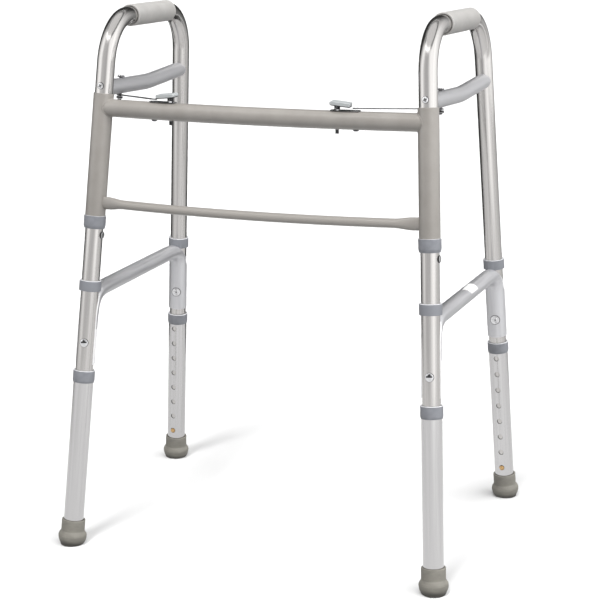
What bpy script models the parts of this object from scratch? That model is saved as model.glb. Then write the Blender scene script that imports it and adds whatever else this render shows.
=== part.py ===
# Folding walker: a front frame with two hinge sleeves, two side frames that turn in them, and four telescoping feet.
# Metres. X runs across the walker, Y from the front frame to the open side, Z up. The floor is Z = 0.
import math

import bmesh
import bpy
from mathutils import Matrix, Vector
from mathutils.geometry import interpolate_bezier

GAP = 0.0003
THROUGH = 0.05
SIDES = 16
BORE_SIDES = 10
HOLE_SIDES = 8
BEND_STEPS = 6
BRACE_FIBRES = 16
SIDE_NAMES = {"left": -1, "right": 1}

# Leg axes: where each meets the floor, and how far it leans for each metre of height.
FOOT_SPACING = 0.3927
LEGS = {
    "front": {"foot_x": 0.2739, "foot_y": -FOOT_SPACING / 2, "lean_in": 0.0584, "lean_back": 0.1253},
    "rear": {"foot_x": 0.2808, "foot_y": FOOT_SPACING / 2, "lean_in": 0.0602, "lean_back": -0.0454},
}

# Tubes
TUBE_RADIUS = 0.0127
TUBE_BORE = 0.0113
OUTER_TUBE_RADIUS = 0.0143
OUTER_TUBE_BORE = 0.01325
BRACE_RADIUS = 0.0111
BRACE_BORE = 0.0099

# Side frame: the two corners where the leg lines meet the grip line, and the bends there.
ARCH_FRONT_Z = 0.7536
ARCH_REAR_Z = 0.7430
ARCH_FRONT_BEND = 0.066
ARCH_REAR_BEND = 0.0677
TUBE_FOOT_Z = 0.030
GRIP_RADIUS = 0.0156
GRIP_START = 0.0707
GRIP_LENGTH = 0.135

# Front frame
SLEEVE_TOP_Z = 0.6500
SLEEVE_FOOT_Z = 0.4632
CROSSBAR_Z = 0.6303
CROSSBAR_RADIUS = 0.0124
CROSSBAR_BORE = 0.0112
CROSSBAR_BOW = 0.0160
LOWER_BAR_Z = 0.4976
LOWER_BAR_RADIUS = 0.00635
LOWER_BAR_BOW = 0.0228
LOWER_BAR_END_HEIGHT = 0.0180
LOWER_BAR_END_THICKNESS = 0.0078
LOWER_BAR_FLAT = (0.046, 0.022)
HINGE_COLLAR_Z = (0.4607, 0.4791)
STOP_PIN_Z = 0.4520

# Braces, as heights on the side frame. The upper one dips a little behind its middle.
UPPER_BRACE_FRONT_Z = 0.6568
UPPER_BRACE_DIP_Z = 0.6472
UPPER_BRACE_REAR_Z = 0.6502
UPPER_BRACE_DIP_SHARE = 0.54
UPPER_BRACE_BEND = 0.30

# Each end of the lower brace is opened into a saddle that lies along the leg. The round tube ends at start from
# the leg's axis, and the saddle proper begins at flat below the brace's height. Hug is how tightly the bend
# follows its corner, and spread is how soon it widens.
BRACE_END = {
    "front": {"height": 0.3668, "start": 0.045, "flat": 0.050, "hug": 0.9, "spread": 1.0, "foot_z": 0.2660},
    "rear": {"height": 0.3600, "start": 0.050, "flat": 0.032, "hug": 0.8, "spread": 0.0, "foot_z": 0.2613},
}
SADDLE_RADIUS = 0.0143
SADDLE_BACK = 0.0015
SADDLE_BORE = 0.0127
SADDLE_BORE_BACK = 0.0008

# Rivets through the saddles and legs. They aren't all square to the walker.
BRACE_RIVETS = {
    "front_left": {"z": 0.2975, "facing": math.radians(-78), "radius": 0.0062},
    "front_right": {"z": 0.2960, "facing": math.radians(-86), "radius": 0.0062},
    "rear_left": {"z": 0.2905, "facing": math.radians(-78), "radius": 0.0075},
    "rear_right": {"z": 0.2890, "facing": math.radians(-85), "radius": 0.0075},
}
BRACE_COLLAR_Z = {
    "front_left": (0.3715, 0.3866),
    "front_right": (0.3780, 0.3934),
    "rear_left": (0.3634, 0.3792),
    "rear_right": (0.3665, 0.3816),
}

# Telescoping feet
EXTENSION_FOOT_Z = 0.0080
EXTENSION_TOP_Z = {"front": 0.2540, "rear": 0.2486}
EXTENSION_COLLAR_Z = {"front": (0.2392, 0.2570), "rear": (0.2348, 0.2516)}
HOLE_COUNT = 8
HOLE_PITCH = 0.0254
HOLE_RADIUS = 0.0040
LOWEST_HOLE_Z = 0.0500
HOLE_FACING = {"front": 1, "rear": -1}
BUTTON_RADIUS = 0.0036
BUTTON_REACH = 0.0166
TIP_TOP_Z = 0.0360
TIP_NECK_RADIUS = 0.0170
TIP_BULGE_RADIUS = 0.0206
COLLAR_RADIUS = 0.0156

# Fold latch, measured inward from each hinge axis along the crossbar
LATCH_KNOB_OFFSET = {"left": 0.083, "right": 0.097}
LATCH_PIN_STEP = 0.0258
BRACE_BOLT_OFFSET = 0.055
STAY_OUTER_Z = 0.6404
STAY_INNER_Z = 0.6465
STAY_WIDTH = 0.0090
STAY_THICKNESS = 0.0016
STAY_SLOPE_ROOM = 0.0008
KNOB_RADIUS = 0.0040
KNOB_TOP = 0.0010
KNOB_FOOT = 0.0009
BOLT_HEAD_ROOM = 0.0007
PLATE_THICKNESS = 0.0010
PADDLE_PIVOT_Z = 0.6527
PADDLE_TILT = math.radians(6)
PADDLE_WIDTH = 0.0160
PADDLE_OUTER_REACH = 0.0190
PADDLE_INNER_REACH = 0.0090
PADDLE_HALF_HEIGHT = 0.0029
PADDLE_WALL = 0.0016
PADDLE_PIVOT_RADIUS = 0.0014

# Shank radii of the fasteners
STOP_PIN_SHANK = 0.0024
STOP_PIN_HEAD = 0.0052
STOP_PIN_HEIGHT = 0.0015
BRACE_SCREW_SHANK = 0.0021
BRACE_SCREW_Z = 0.6610
FASTENER_SHANK = 0.0024
BOLT_SHANK = 0.0027
LATCH_RIVET_RADIUS = 0.0024
SCREW_HEAD_RADIUS = 0.0048
SCREW_HEAD_HEIGHT = 0.0024
SCREW_PAST_TUBE = 0.010
RIVET_DOME = 0.0022
RIVET_TAIL_RADIUS = 0.0036
RIVET_TAIL_HEIGHT = 0.0012
BOLT_HEAD_RADIUS = 0.0052
BOLT_HEAD_HEIGHT = 0.0026
NUT_RADIUS = 0.0050
NUT_HEIGHT = 0.0038
BOLT_PAST_NUT = 0.0012
LATCH_PIN_RADIUS = 0.0024
LATCH_PIN_TAIL = 0.0060
LATCH_PIN_SPLIT = 0.0012


def clear_scene():
    for obj in list(bpy.data.objects):
        bpy.data.objects.remove(obj, do_unlink=True)


def new_collection(name, hidden):
    collection = bpy.data.collections.new(name)
    bpy.context.scene.collection.children.link(collection)
    collection.hide_render = hidden
    return collection


def new_material(name, colour, metallic, roughness):
    material = bpy.data.materials.new(name)
    material.use_nodes = True
    shader = material.node_tree.nodes["Principled BSDF"]
    shader.inputs["Base Color"].default_value = (*colour, 1.0)
    shader.inputs["Metallic"].default_value = metallic
    shader.inputs["Roughness"].default_value = roughness
    return material


def finish_mesh(mesh, material):
    mesh.shade_smooth()
    mesh.set_sharp_from_angle(angle=math.radians(35))
    if material:
        mesh.materials.append(material)


def add_object(name, mesh, matrix, material):
    """An object in the walker's collection, or in the cutters' one if it has no material."""
    finish_mesh(mesh, material)
    obj = bpy.data.objects.new(name, mesh)
    obj.matrix_world = matrix
    (walker if material else cutters).objects.link(obj)
    if not material:
        obj.hide_render = True
        obj.display_type = "WIRE"
    return obj


def boolean(target, other, operation):
    modifier = target.modifiers.new(f"{operation.title()} {other.name}", "BOOLEAN")
    modifier.operation = operation
    modifier.object = other
    modifier.solver = "EXACT"


def around(radius, sides=SIDES):
    """The corner radius of a bore of so many flat sides that clears a round piece by the gap."""
    return (radius + GAP) / math.cos(math.pi / sides)


def turned(name, profile, matrix, material, closed=False, steps=SIDES):
    """A turned piece. The profile's (radius, height) points run down its outer side."""
    mesh = bpy.data.meshes.new(name)
    points = [(radius, 0.0, height) for radius, height in profile]
    edges = [(i, i + 1) for i in range(len(points) - 1)]
    if closed:
        edges.append((len(points) - 1, 0))
    mesh.from_pydata(points, edges, [])
    obj = add_object(name, mesh, matrix, material)
    screw = obj.modifiers.new("Screw", "SCREW")
    screw.steps = steps
    screw.render_steps = steps
    screw.use_merge_vertices = True
    screw.merge_threshold = 0.00002
    screw.use_smooth_shade = True
    return obj


def ring(name, outer, inner, height, matrix, material, rim=0.0006):
    """A plain tube standing on its matrix, with its outer edges broken."""
    profile = [
        (inner, height),
        (outer - rim, height),
        (outer, height - rim),
        (outer, rim),
        (outer - rim, 0.0),
        (inner, 0.0),
    ]
    return turned(name, profile, matrix, material, closed=True)


def cylinder(name, radius, length, matrix, material=None, sides=SIDES):
    """A solid cylinder centred on its matrix, along its Z."""
    mesh = bpy.data.meshes.new(name)
    shape = bmesh.new()
    bmesh.ops.create_cone(
        shape, cap_ends=True, segments=sides, radius1=radius, radius2=radius, depth=length
    )
    shape.to_mesh(mesh)
    shape.free()
    return add_object(name, mesh, matrix, material)


def box_cutter(name, size, matrix):
    mesh = bpy.data.meshes.new(name)
    shape = bmesh.new()
    bmesh.ops.create_cube(shape, size=1.0, matrix=Matrix.Diagonal((*size, 1.0)))
    shape.to_mesh(mesh)
    shape.free()
    return add_object(name, mesh, matrix, None)


def mesh_of_curve(name, curve, matrix, material):
    """The curve's solid as a mesh object with its caps welded."""
    guide = bpy.data.objects.new(name + "_guide", curve)
    bpy.context.scene.collection.objects.link(guide)
    guide.matrix_world = matrix
    graph = bpy.context.evaluated_depsgraph_get()
    mesh = bpy.data.meshes.new_from_object(guide.evaluated_get(graph))
    mesh.name = name
    shape = bmesh.new()
    shape.from_mesh(mesh)
    bmesh.ops.remove_doubles(shape, verts=shape.verts, dist=0.000001)
    bmesh.ops.recalc_face_normals(shape, faces=shape.faces)
    shape.to_mesh(mesh)
    shape.free()
    obj = add_object(name, mesh, guide.matrix_world.copy(), material)
    bpy.data.objects.remove(guide, do_unlink=True)
    return obj


def tube(name, route, radius, material, sides=SIDES):
    """A solid round bar along the route. A curve's bevel has two more sides than twice its resolution plus two."""
    curve = bpy.data.curves.new(name, "CURVE")
    curve.dimensions = "3D"
    curve.bevel_depth = radius
    curve.bevel_resolution = sides // 2 - 2
    curve.use_fill_caps = True
    spline = curve.splines.new("POLY")
    spline.points.add(len(route) - 1)
    for point, place in zip(spline.points, route):
        point.co = (*place, 1.0)
    return mesh_of_curve(name, curve, Matrix.Identity(4), material)


def plate(name, outline, thickness, matrix, material):
    """A flat plate centred on its matrix's XY plane."""
    curve = bpy.data.curves.new(name, "CURVE")
    curve.dimensions = "2D"
    curve.fill_mode = "BOTH"
    curve.extrude = thickness / 2
    spline = curve.splines.new("POLY")
    spline.points.add(len(outline) - 1)
    for point, place in zip(spline.points, outline):
        point.co = (*place, 0.0, 1.0)
    spline.use_cyclic_u = True
    return mesh_of_curve(name, curve, matrix, material)


def hollow(obj, route, radius):
    """Bores a tube along its route, past both ends."""
    past = 0.004
    start = route[0] + (route[0] - route[1]).normalized() * past
    end = route[-1] + (route[-1] - route[-2]).normalized() * past
    boolean(obj, tube(obj.name + "_bore", [start, *route, end], radius, None, BORE_SIDES), "DIFFERENCE")


def rounded_route(corners, radii, steps):
    """The corners joined by straight runs, with an arc of the given radius at each inner one."""
    route = [corners[0]]
    for before, corner, after, radius in zip(corners, corners[1:], corners[2:], radii):
        back = (before - corner).normalized()
        ahead = (after - corner).normalized()
        half = back.angle(ahead) / 2
        centre = corner + (back + ahead).normalized() * radius / math.sin(half)
        start = corner + back * radius / math.tan(half) - centre
        turn = math.pi - 2 * half
        normal = ahead.cross(back)
        route += [centre + Matrix.Rotation(turn * i / steps, 3, normal) @ start for i in range(steps + 1)]
    route.append(corners[-1])
    return route


def frame_matrix(origin, along_x, along_z):
    """A matrix at origin whose Z is along_z, and whose X is as near along_x as can be."""
    z = along_z.normalized()
    x = (along_x - z * along_x.dot(z)).normalized()
    y = z.cross(x)
    matrix = Matrix((x, y, z)).transposed().to_4x4()
    matrix.translation = origin
    return matrix


def leg_point(side, leg, z):
    shape = LEGS[leg]
    x = side * (shape["foot_x"] - shape["lean_in"] * z)
    return Vector((x, shape["foot_y"] + shape["lean_back"] * z, z))


def leg_matrix(side, leg, z):
    """Stands on the leg's axis at height z: local Z up the leg, local Y towards the open side."""
    up = leg_point(side, leg, z + 1.0) - leg_point(side, leg, z)
    return frame_matrix(leg_point(side, leg, z), Vector((1, 0, 0)), up)


def leg_length(leg, low, high):
    shape = LEGS[leg]
    return (high - low) * math.sqrt(1 + shape["lean_in"] ** 2 + shape["lean_back"] ** 2)


def radial(matrix, angle):
    """The matrix turned so that its Z points out of the leg, at angle from local X towards local Y."""
    return matrix @ Matrix.Rotation(angle, 4, "Z") @ Matrix.Rotation(math.pi / 2, 4, "Y")


def cut_round_tube(obj, side, leg, radius, z, length=0.08):
    """Saddle-cuts obj so that it clears a tube on the leg's axis, over so much of its length about z."""
    cutter = cylinder(
        f"{obj.name}_saddle_{leg}_{side}", around(radius), length, leg_matrix(side, leg, z)
    )
    boolean(obj, cutter, "DIFFERENCE")


def bowed_route(height, bow, steps):
    """Across the walker between the front leg axes at this height, bowed forward in the middle."""
    start = leg_point(-1, "front", height)
    end = leg_point(1, "front", height)
    route = []
    for i in range(steps + 1):
        share = i / steps
        point = start.lerp(end, share)
        point.y -= bow * 4 * share * (1 - share)
        route.append(point)
    return route


def crossbar_point(side, offset, z=CROSSBAR_Z):
    """The point of the crossbar's axis this far inward from the hinge, lifted to height z."""
    hinge = leg_point(side, "front", CROSSBAR_Z)
    share = offset / (2 * abs(hinge.x))
    return Vector((hinge.x - side * offset, hinge.y - CROSSBAR_BOW * 4 * share * (1 - share), z))


def crossbar_matrix(side, offset, z):
    """At the crossbar: local X inward along it, local Z up."""
    inward = crossbar_point(side, offset + 0.001, z) - crossbar_point(side, offset, z)
    return frame_matrix(crossbar_point(side, offset, z), inward, Vector((0, 0, 1)))


def screw_head(name, radius, height, shank, depth, matrix, material):
    """A headed pin along local Z: head above the origin, shank below it."""
    profile = [
        (0.0, height),
        (radius * 0.6, height * 0.9),
        (radius, height * 0.3),
        (radius, 0.0),
        (shank, 0.0),
        (shank, -depth),
        (0.0, -depth),
    ]
    return turned(name, profile, matrix, material, steps=12)


# Front frame

def build_front_frame(paints):
    for word, side in SIDE_NAMES.items():
        length = leg_length("front", SLEEVE_FOOT_Z, SLEEVE_TOP_Z)
        ring(
            f"front_sleeve_{word}", OUTER_TUBE_RADIUS, OUTER_TUBE_BORE, length,
            leg_matrix(side, "front", SLEEVE_FOOT_Z), paints["taupe"],
        )
        build_hinge_collar(word, side, paints["collar"])
    build_crossbar(paints["taupe"])
    build_lower_bar(paints["taupe"])


def build_crossbar(paint):
    route = bowed_route(CROSSBAR_Z, CROSSBAR_BOW, 10)
    bar = tube("crossbar", route, CROSSBAR_RADIUS, paint)
    hollow(bar, route, CROSSBAR_BORE)
    for word, side in SIDE_NAMES.items():
        cut_round_tube(bar, side, "front", OUTER_TUBE_RADIUS, CROSSBAR_Z)
        knob = LATCH_KNOB_OFFSET[word]
        for label, offset, radius in (
            ("rivet", knob, LATCH_RIVET_RADIUS),
            ("pin", knob + LATCH_PIN_STEP, LATCH_PIN_RADIUS),
        ):
            hole = cylinder(
                f"crossbar_{label}_hole_{word}", around(radius, HOLE_SIDES), THROUGH,
                crossbar_matrix(side, offset, CROSSBAR_Z), sides=HOLE_SIDES,
            )
            boolean(bar, hole, "DIFFERENCE")


def build_lower_bar(paint):
    """A round bar whose ends are pressed flat and flare where they meet the sleeves."""
    route = bowed_route(LOWER_BAR_Z, LOWER_BAR_BOW, 24)
    bar = tube("lower_crossbar", route, LOWER_BAR_RADIUS, paint, 12)
    half_span = abs(route[0].x)
    flat_start = half_span - LOWER_BAR_FLAT[0]
    flat_end = half_span - LOWER_BAR_FLAT[1]
    for vertex in bar.data.vertices:
        share = (abs(vertex.co.x) - flat_start) / (flat_end - flat_start)
        share = min(max(share, 0.0), 1.0)
        share = share * share * (3 - 2 * share)
        across = (vertex.co.x + half_span) / (2 * half_span)
        centre = route[0].lerp(route[-1], across)
        centre.y -= LOWER_BAR_BOW * 4 * across * (1 - across)
        tall = 1 + share * (LOWER_BAR_END_HEIGHT / 2 / LOWER_BAR_RADIUS - 1)
        thin = 1 + share * (LOWER_BAR_END_THICKNESS / 2 / LOWER_BAR_RADIUS - 1)
        vertex.co.z = LOWER_BAR_Z + (vertex.co.z - LOWER_BAR_Z) * tall
        vertex.co.y = centre.y + (vertex.co.y - centre.y) * thin
    for side in SIDE_NAMES.values():
        cut_round_tube(bar, side, "front", OUTER_TUBE_RADIUS, LOWER_BAR_Z)


def build_hinge_collar(word, side, paint):
    """The bearing ring pressed on the sleeve's foot: a lip below it, and a bore round it."""
    low, high = HINGE_COLLAR_Z
    height = leg_length("front", low, high)
    lip = leg_length("front", low, SLEEVE_FOOT_Z) - GAP
    profile = [
        (around(OUTER_TUBE_RADIUS), height),
        (COLLAR_RADIUS - 0.0003, height),
        (COLLAR_RADIUS, height - 0.0012),
        (COLLAR_RADIUS - 0.0004, 0.0032),
        (COLLAR_RADIUS - 0.0016, 0.0),
        (around(TUBE_RADIUS), 0.0),
        (around(TUBE_RADIUS), lip),
        (around(OUTER_TUBE_RADIUS), lip),
    ]
    turned(f"hinge_collar_{word}", profile, leg_matrix(side, "front", low), paint, closed=True)


# Side frames

def arch_route(side):
    corners = [
        leg_point(side, "front", TUBE_FOOT_Z),
        leg_point(side, "front", ARCH_FRONT_Z),
        leg_point(side, "rear", ARCH_REAR_Z),
        leg_point(side, "rear", TUBE_FOOT_Z),
    ]
    return corners, rounded_route(corners, (ARCH_FRONT_BEND, ARCH_REAR_BEND), BEND_STEPS)


def build_side_tube(word, side, paint):
    route = arch_route(side)[1]
    frame = tube(f"side_tube_{word}", route, TUBE_RADIUS, paint)
    hollow(frame, route, TUBE_BORE)
    drill(frame, radial(leg_matrix(side, "front", STOP_PIN_Z), 0.0), STOP_PIN_SHANK)
    drill(frame, brace_screw_matrix(side), BRACE_SCREW_SHANK)
    for leg in LEGS:
        drill(frame, brace_rivet_matrix(word, side, leg), FASTENER_SHANK)
        facing = math.copysign(math.pi / 2, HOLE_FACING[leg])
        drill_outer(frame, side, leg, LOWEST_HOLE_Z, facing, HOLE_RADIUS)


def drill(obj, matrix, radius, length=THROUGH):
    """A hole right through obj along the matrix's Z."""
    cutter = cylinder(
        f"{obj.name}_hole_{len(cutters.objects)}", around(radius, HOLE_SIDES), length, matrix,
        sides=HOLE_SIDES,
    )
    boolean(obj, cutter, "DIFFERENCE")


def drill_outer(obj, side, leg, z, facing, radius):
    """A hole through only the near wall of a tube on this leg."""
    start, end = 0.004, 0.020
    matrix = radial(leg_matrix(side, leg, z), facing) @ Matrix.Translation((0, 0, (start + end) / 2))
    drill(obj, matrix, radius, end - start)


def build_grip(word, side, paint):
    corners = arch_route(side)[0]
    along = (corners[2] - corners[1]).normalized()
    start = corners[1] + along * GRIP_START
    rim = 0.0016
    bore = around(TUBE_RADIUS)
    profile = [
        (bore, GRIP_LENGTH),
        (GRIP_RADIUS - rim, GRIP_LENGTH),
        (GRIP_RADIUS, GRIP_LENGTH - rim),
        (GRIP_RADIUS, rim),
        (GRIP_RADIUS - rim, 0.0),
        (bore, 0.0),
    ]
    matrix = frame_matrix(start, Vector((1, 0, 0)), along)
    turned(f"hand_grip_{word}", profile, matrix, paint, closed=True)


def side_point(side, share, z):
    """A point of the side frame's plane, share of the way from the front leg to the rear leg at z."""
    return leg_point(side, "front", z).lerp(leg_point(side, "rear", z), share)


def upper_brace_route(side):
    corners = [
        leg_point(side, "front", UPPER_BRACE_FRONT_Z),
        side_point(side, UPPER_BRACE_DIP_SHARE, UPPER_BRACE_DIP_Z),
        leg_point(side, "rear", UPPER_BRACE_REAR_Z),
    ]
    return rounded_route(corners, (UPPER_BRACE_BEND,), BEND_STEPS)


def brace_bolt_matrix(side, z):
    """On the bolt's axis at height z. It crosses the upper brace's axis, parallel to the front leg, as local Z is."""
    route = upper_brace_route(side)
    crossing = route[0] + (route[1] - route[0]).normalized() * BRACE_BOLT_OFFSET
    up = leg_point(side, "front", 1.0) - leg_point(side, "front", 0.0)
    return frame_matrix(crossing + up * (z - crossing.z), Vector((1, 0, 0)), up)


def brace_height_at_bolt(side):
    route = upper_brace_route(side)
    return (route[0] + (route[1] - route[0]).normalized() * BRACE_BOLT_OFFSET).z


def brace_screw_matrix(side):
    """On the front leg, Z towards the front along the upper brace's axis."""
    route = upper_brace_route(side)
    along = (route[0] - route[1]).normalized()
    origin = leg_point(side, "front", BRACE_SCREW_Z)
    return frame_matrix(origin, Vector((1, 0, 0)), along)


def build_upper_brace(word, side, paint):
    route = upper_brace_route(side)
    brace = tube(f"upper_brace_{word}", route, BRACE_RADIUS, paint)
    hollow(brace, route, BRACE_BORE)
    cut_round_tube(brace, side, "front", TUBE_RADIUS, UPPER_BRACE_FRONT_Z)
    cut_round_tube(brace, side, "rear", TUBE_RADIUS, UPPER_BRACE_REAR_Z)
    clear_hinge_sleeve(brace, side)
    drill(brace, brace_bolt_matrix(side, brace_height_at_bolt(side)), BOLT_SHANK)


def clear_hinge_sleeve(brace, side):
    """Notches the brace's end where it turns above the hinge sleeve's top."""
    length = 0.030
    top = leg_matrix(side, "front", SLEEVE_TOP_Z + 2 * GAP)
    place = top @ Matrix.Translation((0, 0, -length / 2))
    notch = cylinder(f"{brace.name}_notch", around(OUTER_TUBE_RADIUS + GAP), length, place)
    boolean(brace, notch, "DIFFERENCE")


def brace_fibre(side, leg, angle, radius, saddle, back, past):
    """A line along the lower brace's skin, from the saddle's foot to where the round tube starts.

    Angle 0 is the tube's underside, which becomes the saddle's outer face. Half a turn is its top, which runs
    into the leg and is cut away there. It is worked out in the leg's own frame and then placed."""
    shape = BRACE_END[leg]
    hub = leg_matrix(side, leg, shape["height"])
    other = "rear" if leg == "front" else "front"
    far = leg_point(side, other, BRACE_END[other]["height"])
    along = (hub.inverted() @ far).normalized()
    sign = math.copysign(1, along.y)
    up = (Vector((0, 0, 1)) - along * along.z).normalized()
    across = along.cross(up) * sign
    start = along * shape["start"] - up * radius * math.cos(angle) + across * radius * math.sin(angle)
    edge = math.pi / 2 - math.pi / BRACE_FIBRES
    under = abs(angle) < math.pi / 2
    turn = (abs(angle) if under else math.pi - abs(angle)) / edge * math.pi / 2
    x = math.copysign(saddle * math.sin(turn), angle)
    y = (saddle * math.cos(turn) if under else -back) * sign
    corner = start - along * (start.y - y) / along.y
    flat = Vector((x, y, -shape["flat"]))
    ahead = start.lerp(corner, shape["hug"])
    ahead.x = start.x + (x - start.x) * shape["spread"]
    behind = flat.lerp(Vector((x, y, corner.z)), shape["hug"])
    foot = Vector((x, y, -leg_length(leg, shape["foot_z"], shape["height"]) - past))
    bend = interpolate_bezier(flat, behind, ahead, start, BEND_STEPS + 2)
    return [hub @ point for point in [foot, *bend]]


def brace_skin(name, side, radius, saddle, back, past=0.0, material=None):
    """The loft from saddle to saddle over a ring of fibres, closed at both feet."""
    count = BRACE_FIBRES
    lines = []
    for i in range(count):
        angle = (i + 0.5) * 2 * math.pi / count
        angle -= 2 * math.pi if angle > math.pi else 0
        ends = [brace_fibre(side, leg, angle, radius, saddle, back, past) for leg in LEGS]
        lines.append(ends[0] + ends[1][::-1])
    long = len(lines[0])
    points = [point for line in lines for point in line]
    faces = []
    for i in range(count):
        near, next_line = i * long, (i + 1) % count * long
        faces += [(near + j, near + j + 1, next_line + j + 1, next_line + j) for j in range(long - 1)]
    # Each foot is a D: every fibre of its round side is joined to the one across from it.
    for i in range(-count // 4, count // 4 - 1):
        ring = [n % count * long for n in (i, i + 1, count // 2 - 2 - i, count // 2 - 1 - i)]
        faces.append(ring)
        faces.append([corner + long - 1 for corner in reversed(ring)])
    mesh = bpy.data.meshes.new(name)
    mesh.from_pydata(points, [], faces)
    shape = bmesh.new()
    shape.from_mesh(mesh)
    bmesh.ops.recalc_face_normals(shape, faces=shape.faces)
    shape.to_mesh(mesh)
    shape.free()
    return add_object(name, mesh, Matrix.Identity(4), material)


def build_lower_brace(word, side, paint):
    name = f"lower_brace_{word}"
    brace = brace_skin(name, side, BRACE_RADIUS, SADDLE_RADIUS, SADDLE_BACK, material=paint)
    bore = brace_skin(name + "_bore", side, BRACE_BORE, SADDLE_BORE, SADDLE_BORE_BACK, past=0.004)
    boolean(brace, bore, "DIFFERENCE")
    for leg, shape in BRACE_END.items():
        middle = (shape["height"] + shape["foot_z"]) / 2
        cut_round_tube(brace, side, leg, TUBE_RADIUS, middle, 0.20)
        drill(brace, brace_rivet_matrix(word, side, leg), FASTENER_SHANK)


def brace_rivet_matrix(word, side, leg):
    """On the leg's axis, Z towards the rivet's head."""
    rivet = BRACE_RIVETS[f"{leg}_{word}"]
    return radial(leg_matrix(side, leg, rivet["z"]), rivet["facing"])


def build_brace_collar(word, side, leg, paint):
    """A ring round the leg, notched where the lower brace runs in under it."""
    low, high = BRACE_COLLAR_Z[f"{leg}_{word}"]
    collar = ring(
        f"{leg}_brace_collar_{word}", COLLAR_RADIUS, around(TUBE_RADIUS), leg_length(leg, low, high),
        leg_matrix(side, leg, low), paint,
    )
    clear = 1.5 * GAP
    notch = brace_skin(
        collar.name + "_notch", side, BRACE_RADIUS + clear, SADDLE_RADIUS + clear, SADDLE_BACK + clear
    )
    boolean(collar, notch, "DIFFERENCE")


def build_cap_collar(name, side, leg, span, tube_top, paint):
    """A ring capping the top of an outer tube: a lip above it, and a bore round it."""
    low, high = span
    height = leg_length(leg, low, high)
    bore_top = leg_length(leg, low, tube_top) + GAP
    profile = [
        (around(TUBE_RADIUS + 0.0002), height),
        (COLLAR_RADIUS - 0.0006, height),
        (COLLAR_RADIUS, height - 0.0010),
        (COLLAR_RADIUS, 0.0006),
        (COLLAR_RADIUS - 0.0006, 0.0),
        (around(OUTER_TUBE_RADIUS), 0.0),
        (around(OUTER_TUBE_RADIUS), bore_top),
        (around(TUBE_RADIUS + 0.0002), bore_top),
    ]
    turned(name, profile, leg_matrix(side, leg, low), paint, closed=True)


def build_side_fasteners(word, side, paints):
    reach = TUBE_RADIUS + GAP
    over_saddle = SADDLE_RADIUS + GAP
    build_stop_pin(word, side, reach, paints["steel"])
    screw = brace_screw_matrix(side) @ Matrix.Translation((0, 0, reach))
    screw_head(
        f"brace_screw_{word}", SCREW_HEAD_RADIUS, SCREW_HEAD_HEIGHT, BRACE_SCREW_SHANK,
        2 * reach + SCREW_PAST_TUBE, screw, paints["steel"],
    )
    build_brace_rivet(word, side, "front", reach, over_saddle, paints["steel"])
    build_brace_rivet(word, side, "rear", over_saddle, reach, paints["steel"])


def build_stop_pin(word, side, reach, paint):
    """A pin through the front tube, with a low head at one end and the other end flush."""
    place = radial(leg_matrix(side, "front", STOP_PIN_Z), 0.0)
    profile = [
        (0.0, reach + STOP_PIN_HEIGHT),
        (STOP_PIN_HEAD - 0.0008, reach + STOP_PIN_HEIGHT),
        (STOP_PIN_HEAD, reach + STOP_PIN_HEIGHT - 0.0006),
        (STOP_PIN_HEAD, reach),
        (STOP_PIN_SHANK, reach),
        (STOP_PIN_SHANK, -TUBE_RADIUS),
        (0.0, -TUBE_RADIUS),
    ]
    turned(f"stop_pin_{word}", profile, place, paint, steps=12)


def build_brace_rivet(word, side, leg, head_base, tail_base, paint):
    """Through the leg and its saddle, with a domed head in front and a small set tail behind."""
    radius = BRACE_RIVETS[f"{leg}_{word}"]["radius"]
    profile = [
        (0.0, head_base + RIVET_DOME),
        (radius * 0.55, head_base + RIVET_DOME * 0.88),
        (radius * 0.9, head_base + RIVET_DOME * 0.45),
        (radius, head_base),
        (FASTENER_SHANK, head_base),
        (FASTENER_SHANK, -tail_base),
        (RIVET_TAIL_RADIUS, -tail_base),
        (RIVET_TAIL_RADIUS * 0.9, -tail_base - RIVET_TAIL_HEIGHT),
        (0.0, -tail_base - RIVET_TAIL_HEIGHT),
    ]
    turned(f"{leg}_brace_rivet_{word}", profile, brace_rivet_matrix(word, side, leg), paint, steps=12)


def build_brace_bolt(word, side, paints):
    """The bolt that stands through the upper brace and carries the latch stay, and its nut below."""
    top = brace_height_at_bolt(side) + BRACE_RADIUS + BOLT_HEAD_ROOM
    nut_top = STAY_OUTER_Z - STAY_THICKNESS / 2 - STAY_SLOPE_ROOM
    matrix = brace_bolt_matrix(side, top)
    depth = top - nut_top + NUT_HEIGHT + BOLT_PAST_NUT
    screw_head(
        f"brace_bolt_{word}", BOLT_HEAD_RADIUS, BOLT_HEAD_HEIGHT, BOLT_SHANK, depth, matrix, paints["steel"]
    )
    place = brace_bolt_matrix(side, nut_top - NUT_HEIGHT / 2)
    nut = cylinder(f"brace_nut_{word}", NUT_RADIUS, NUT_HEIGHT, place, paints["steel"], sides=6)
    drill(nut, place, BOLT_SHANK)


def build_side(word, side, paints):
    build_side_tube(word, side, paints["aluminium"])
    build_grip(word, side, paints["grip"])
    build_upper_brace(word, side, paints["brace"])
    build_lower_brace(word, side, paints["brace"])
    for leg in LEGS:
        build_brace_collar(word, side, leg, paints["collar"])
    build_side_fasteners(word, side, paints)
    build_brace_bolt(word, side, paints)


# Telescoping feet

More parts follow.
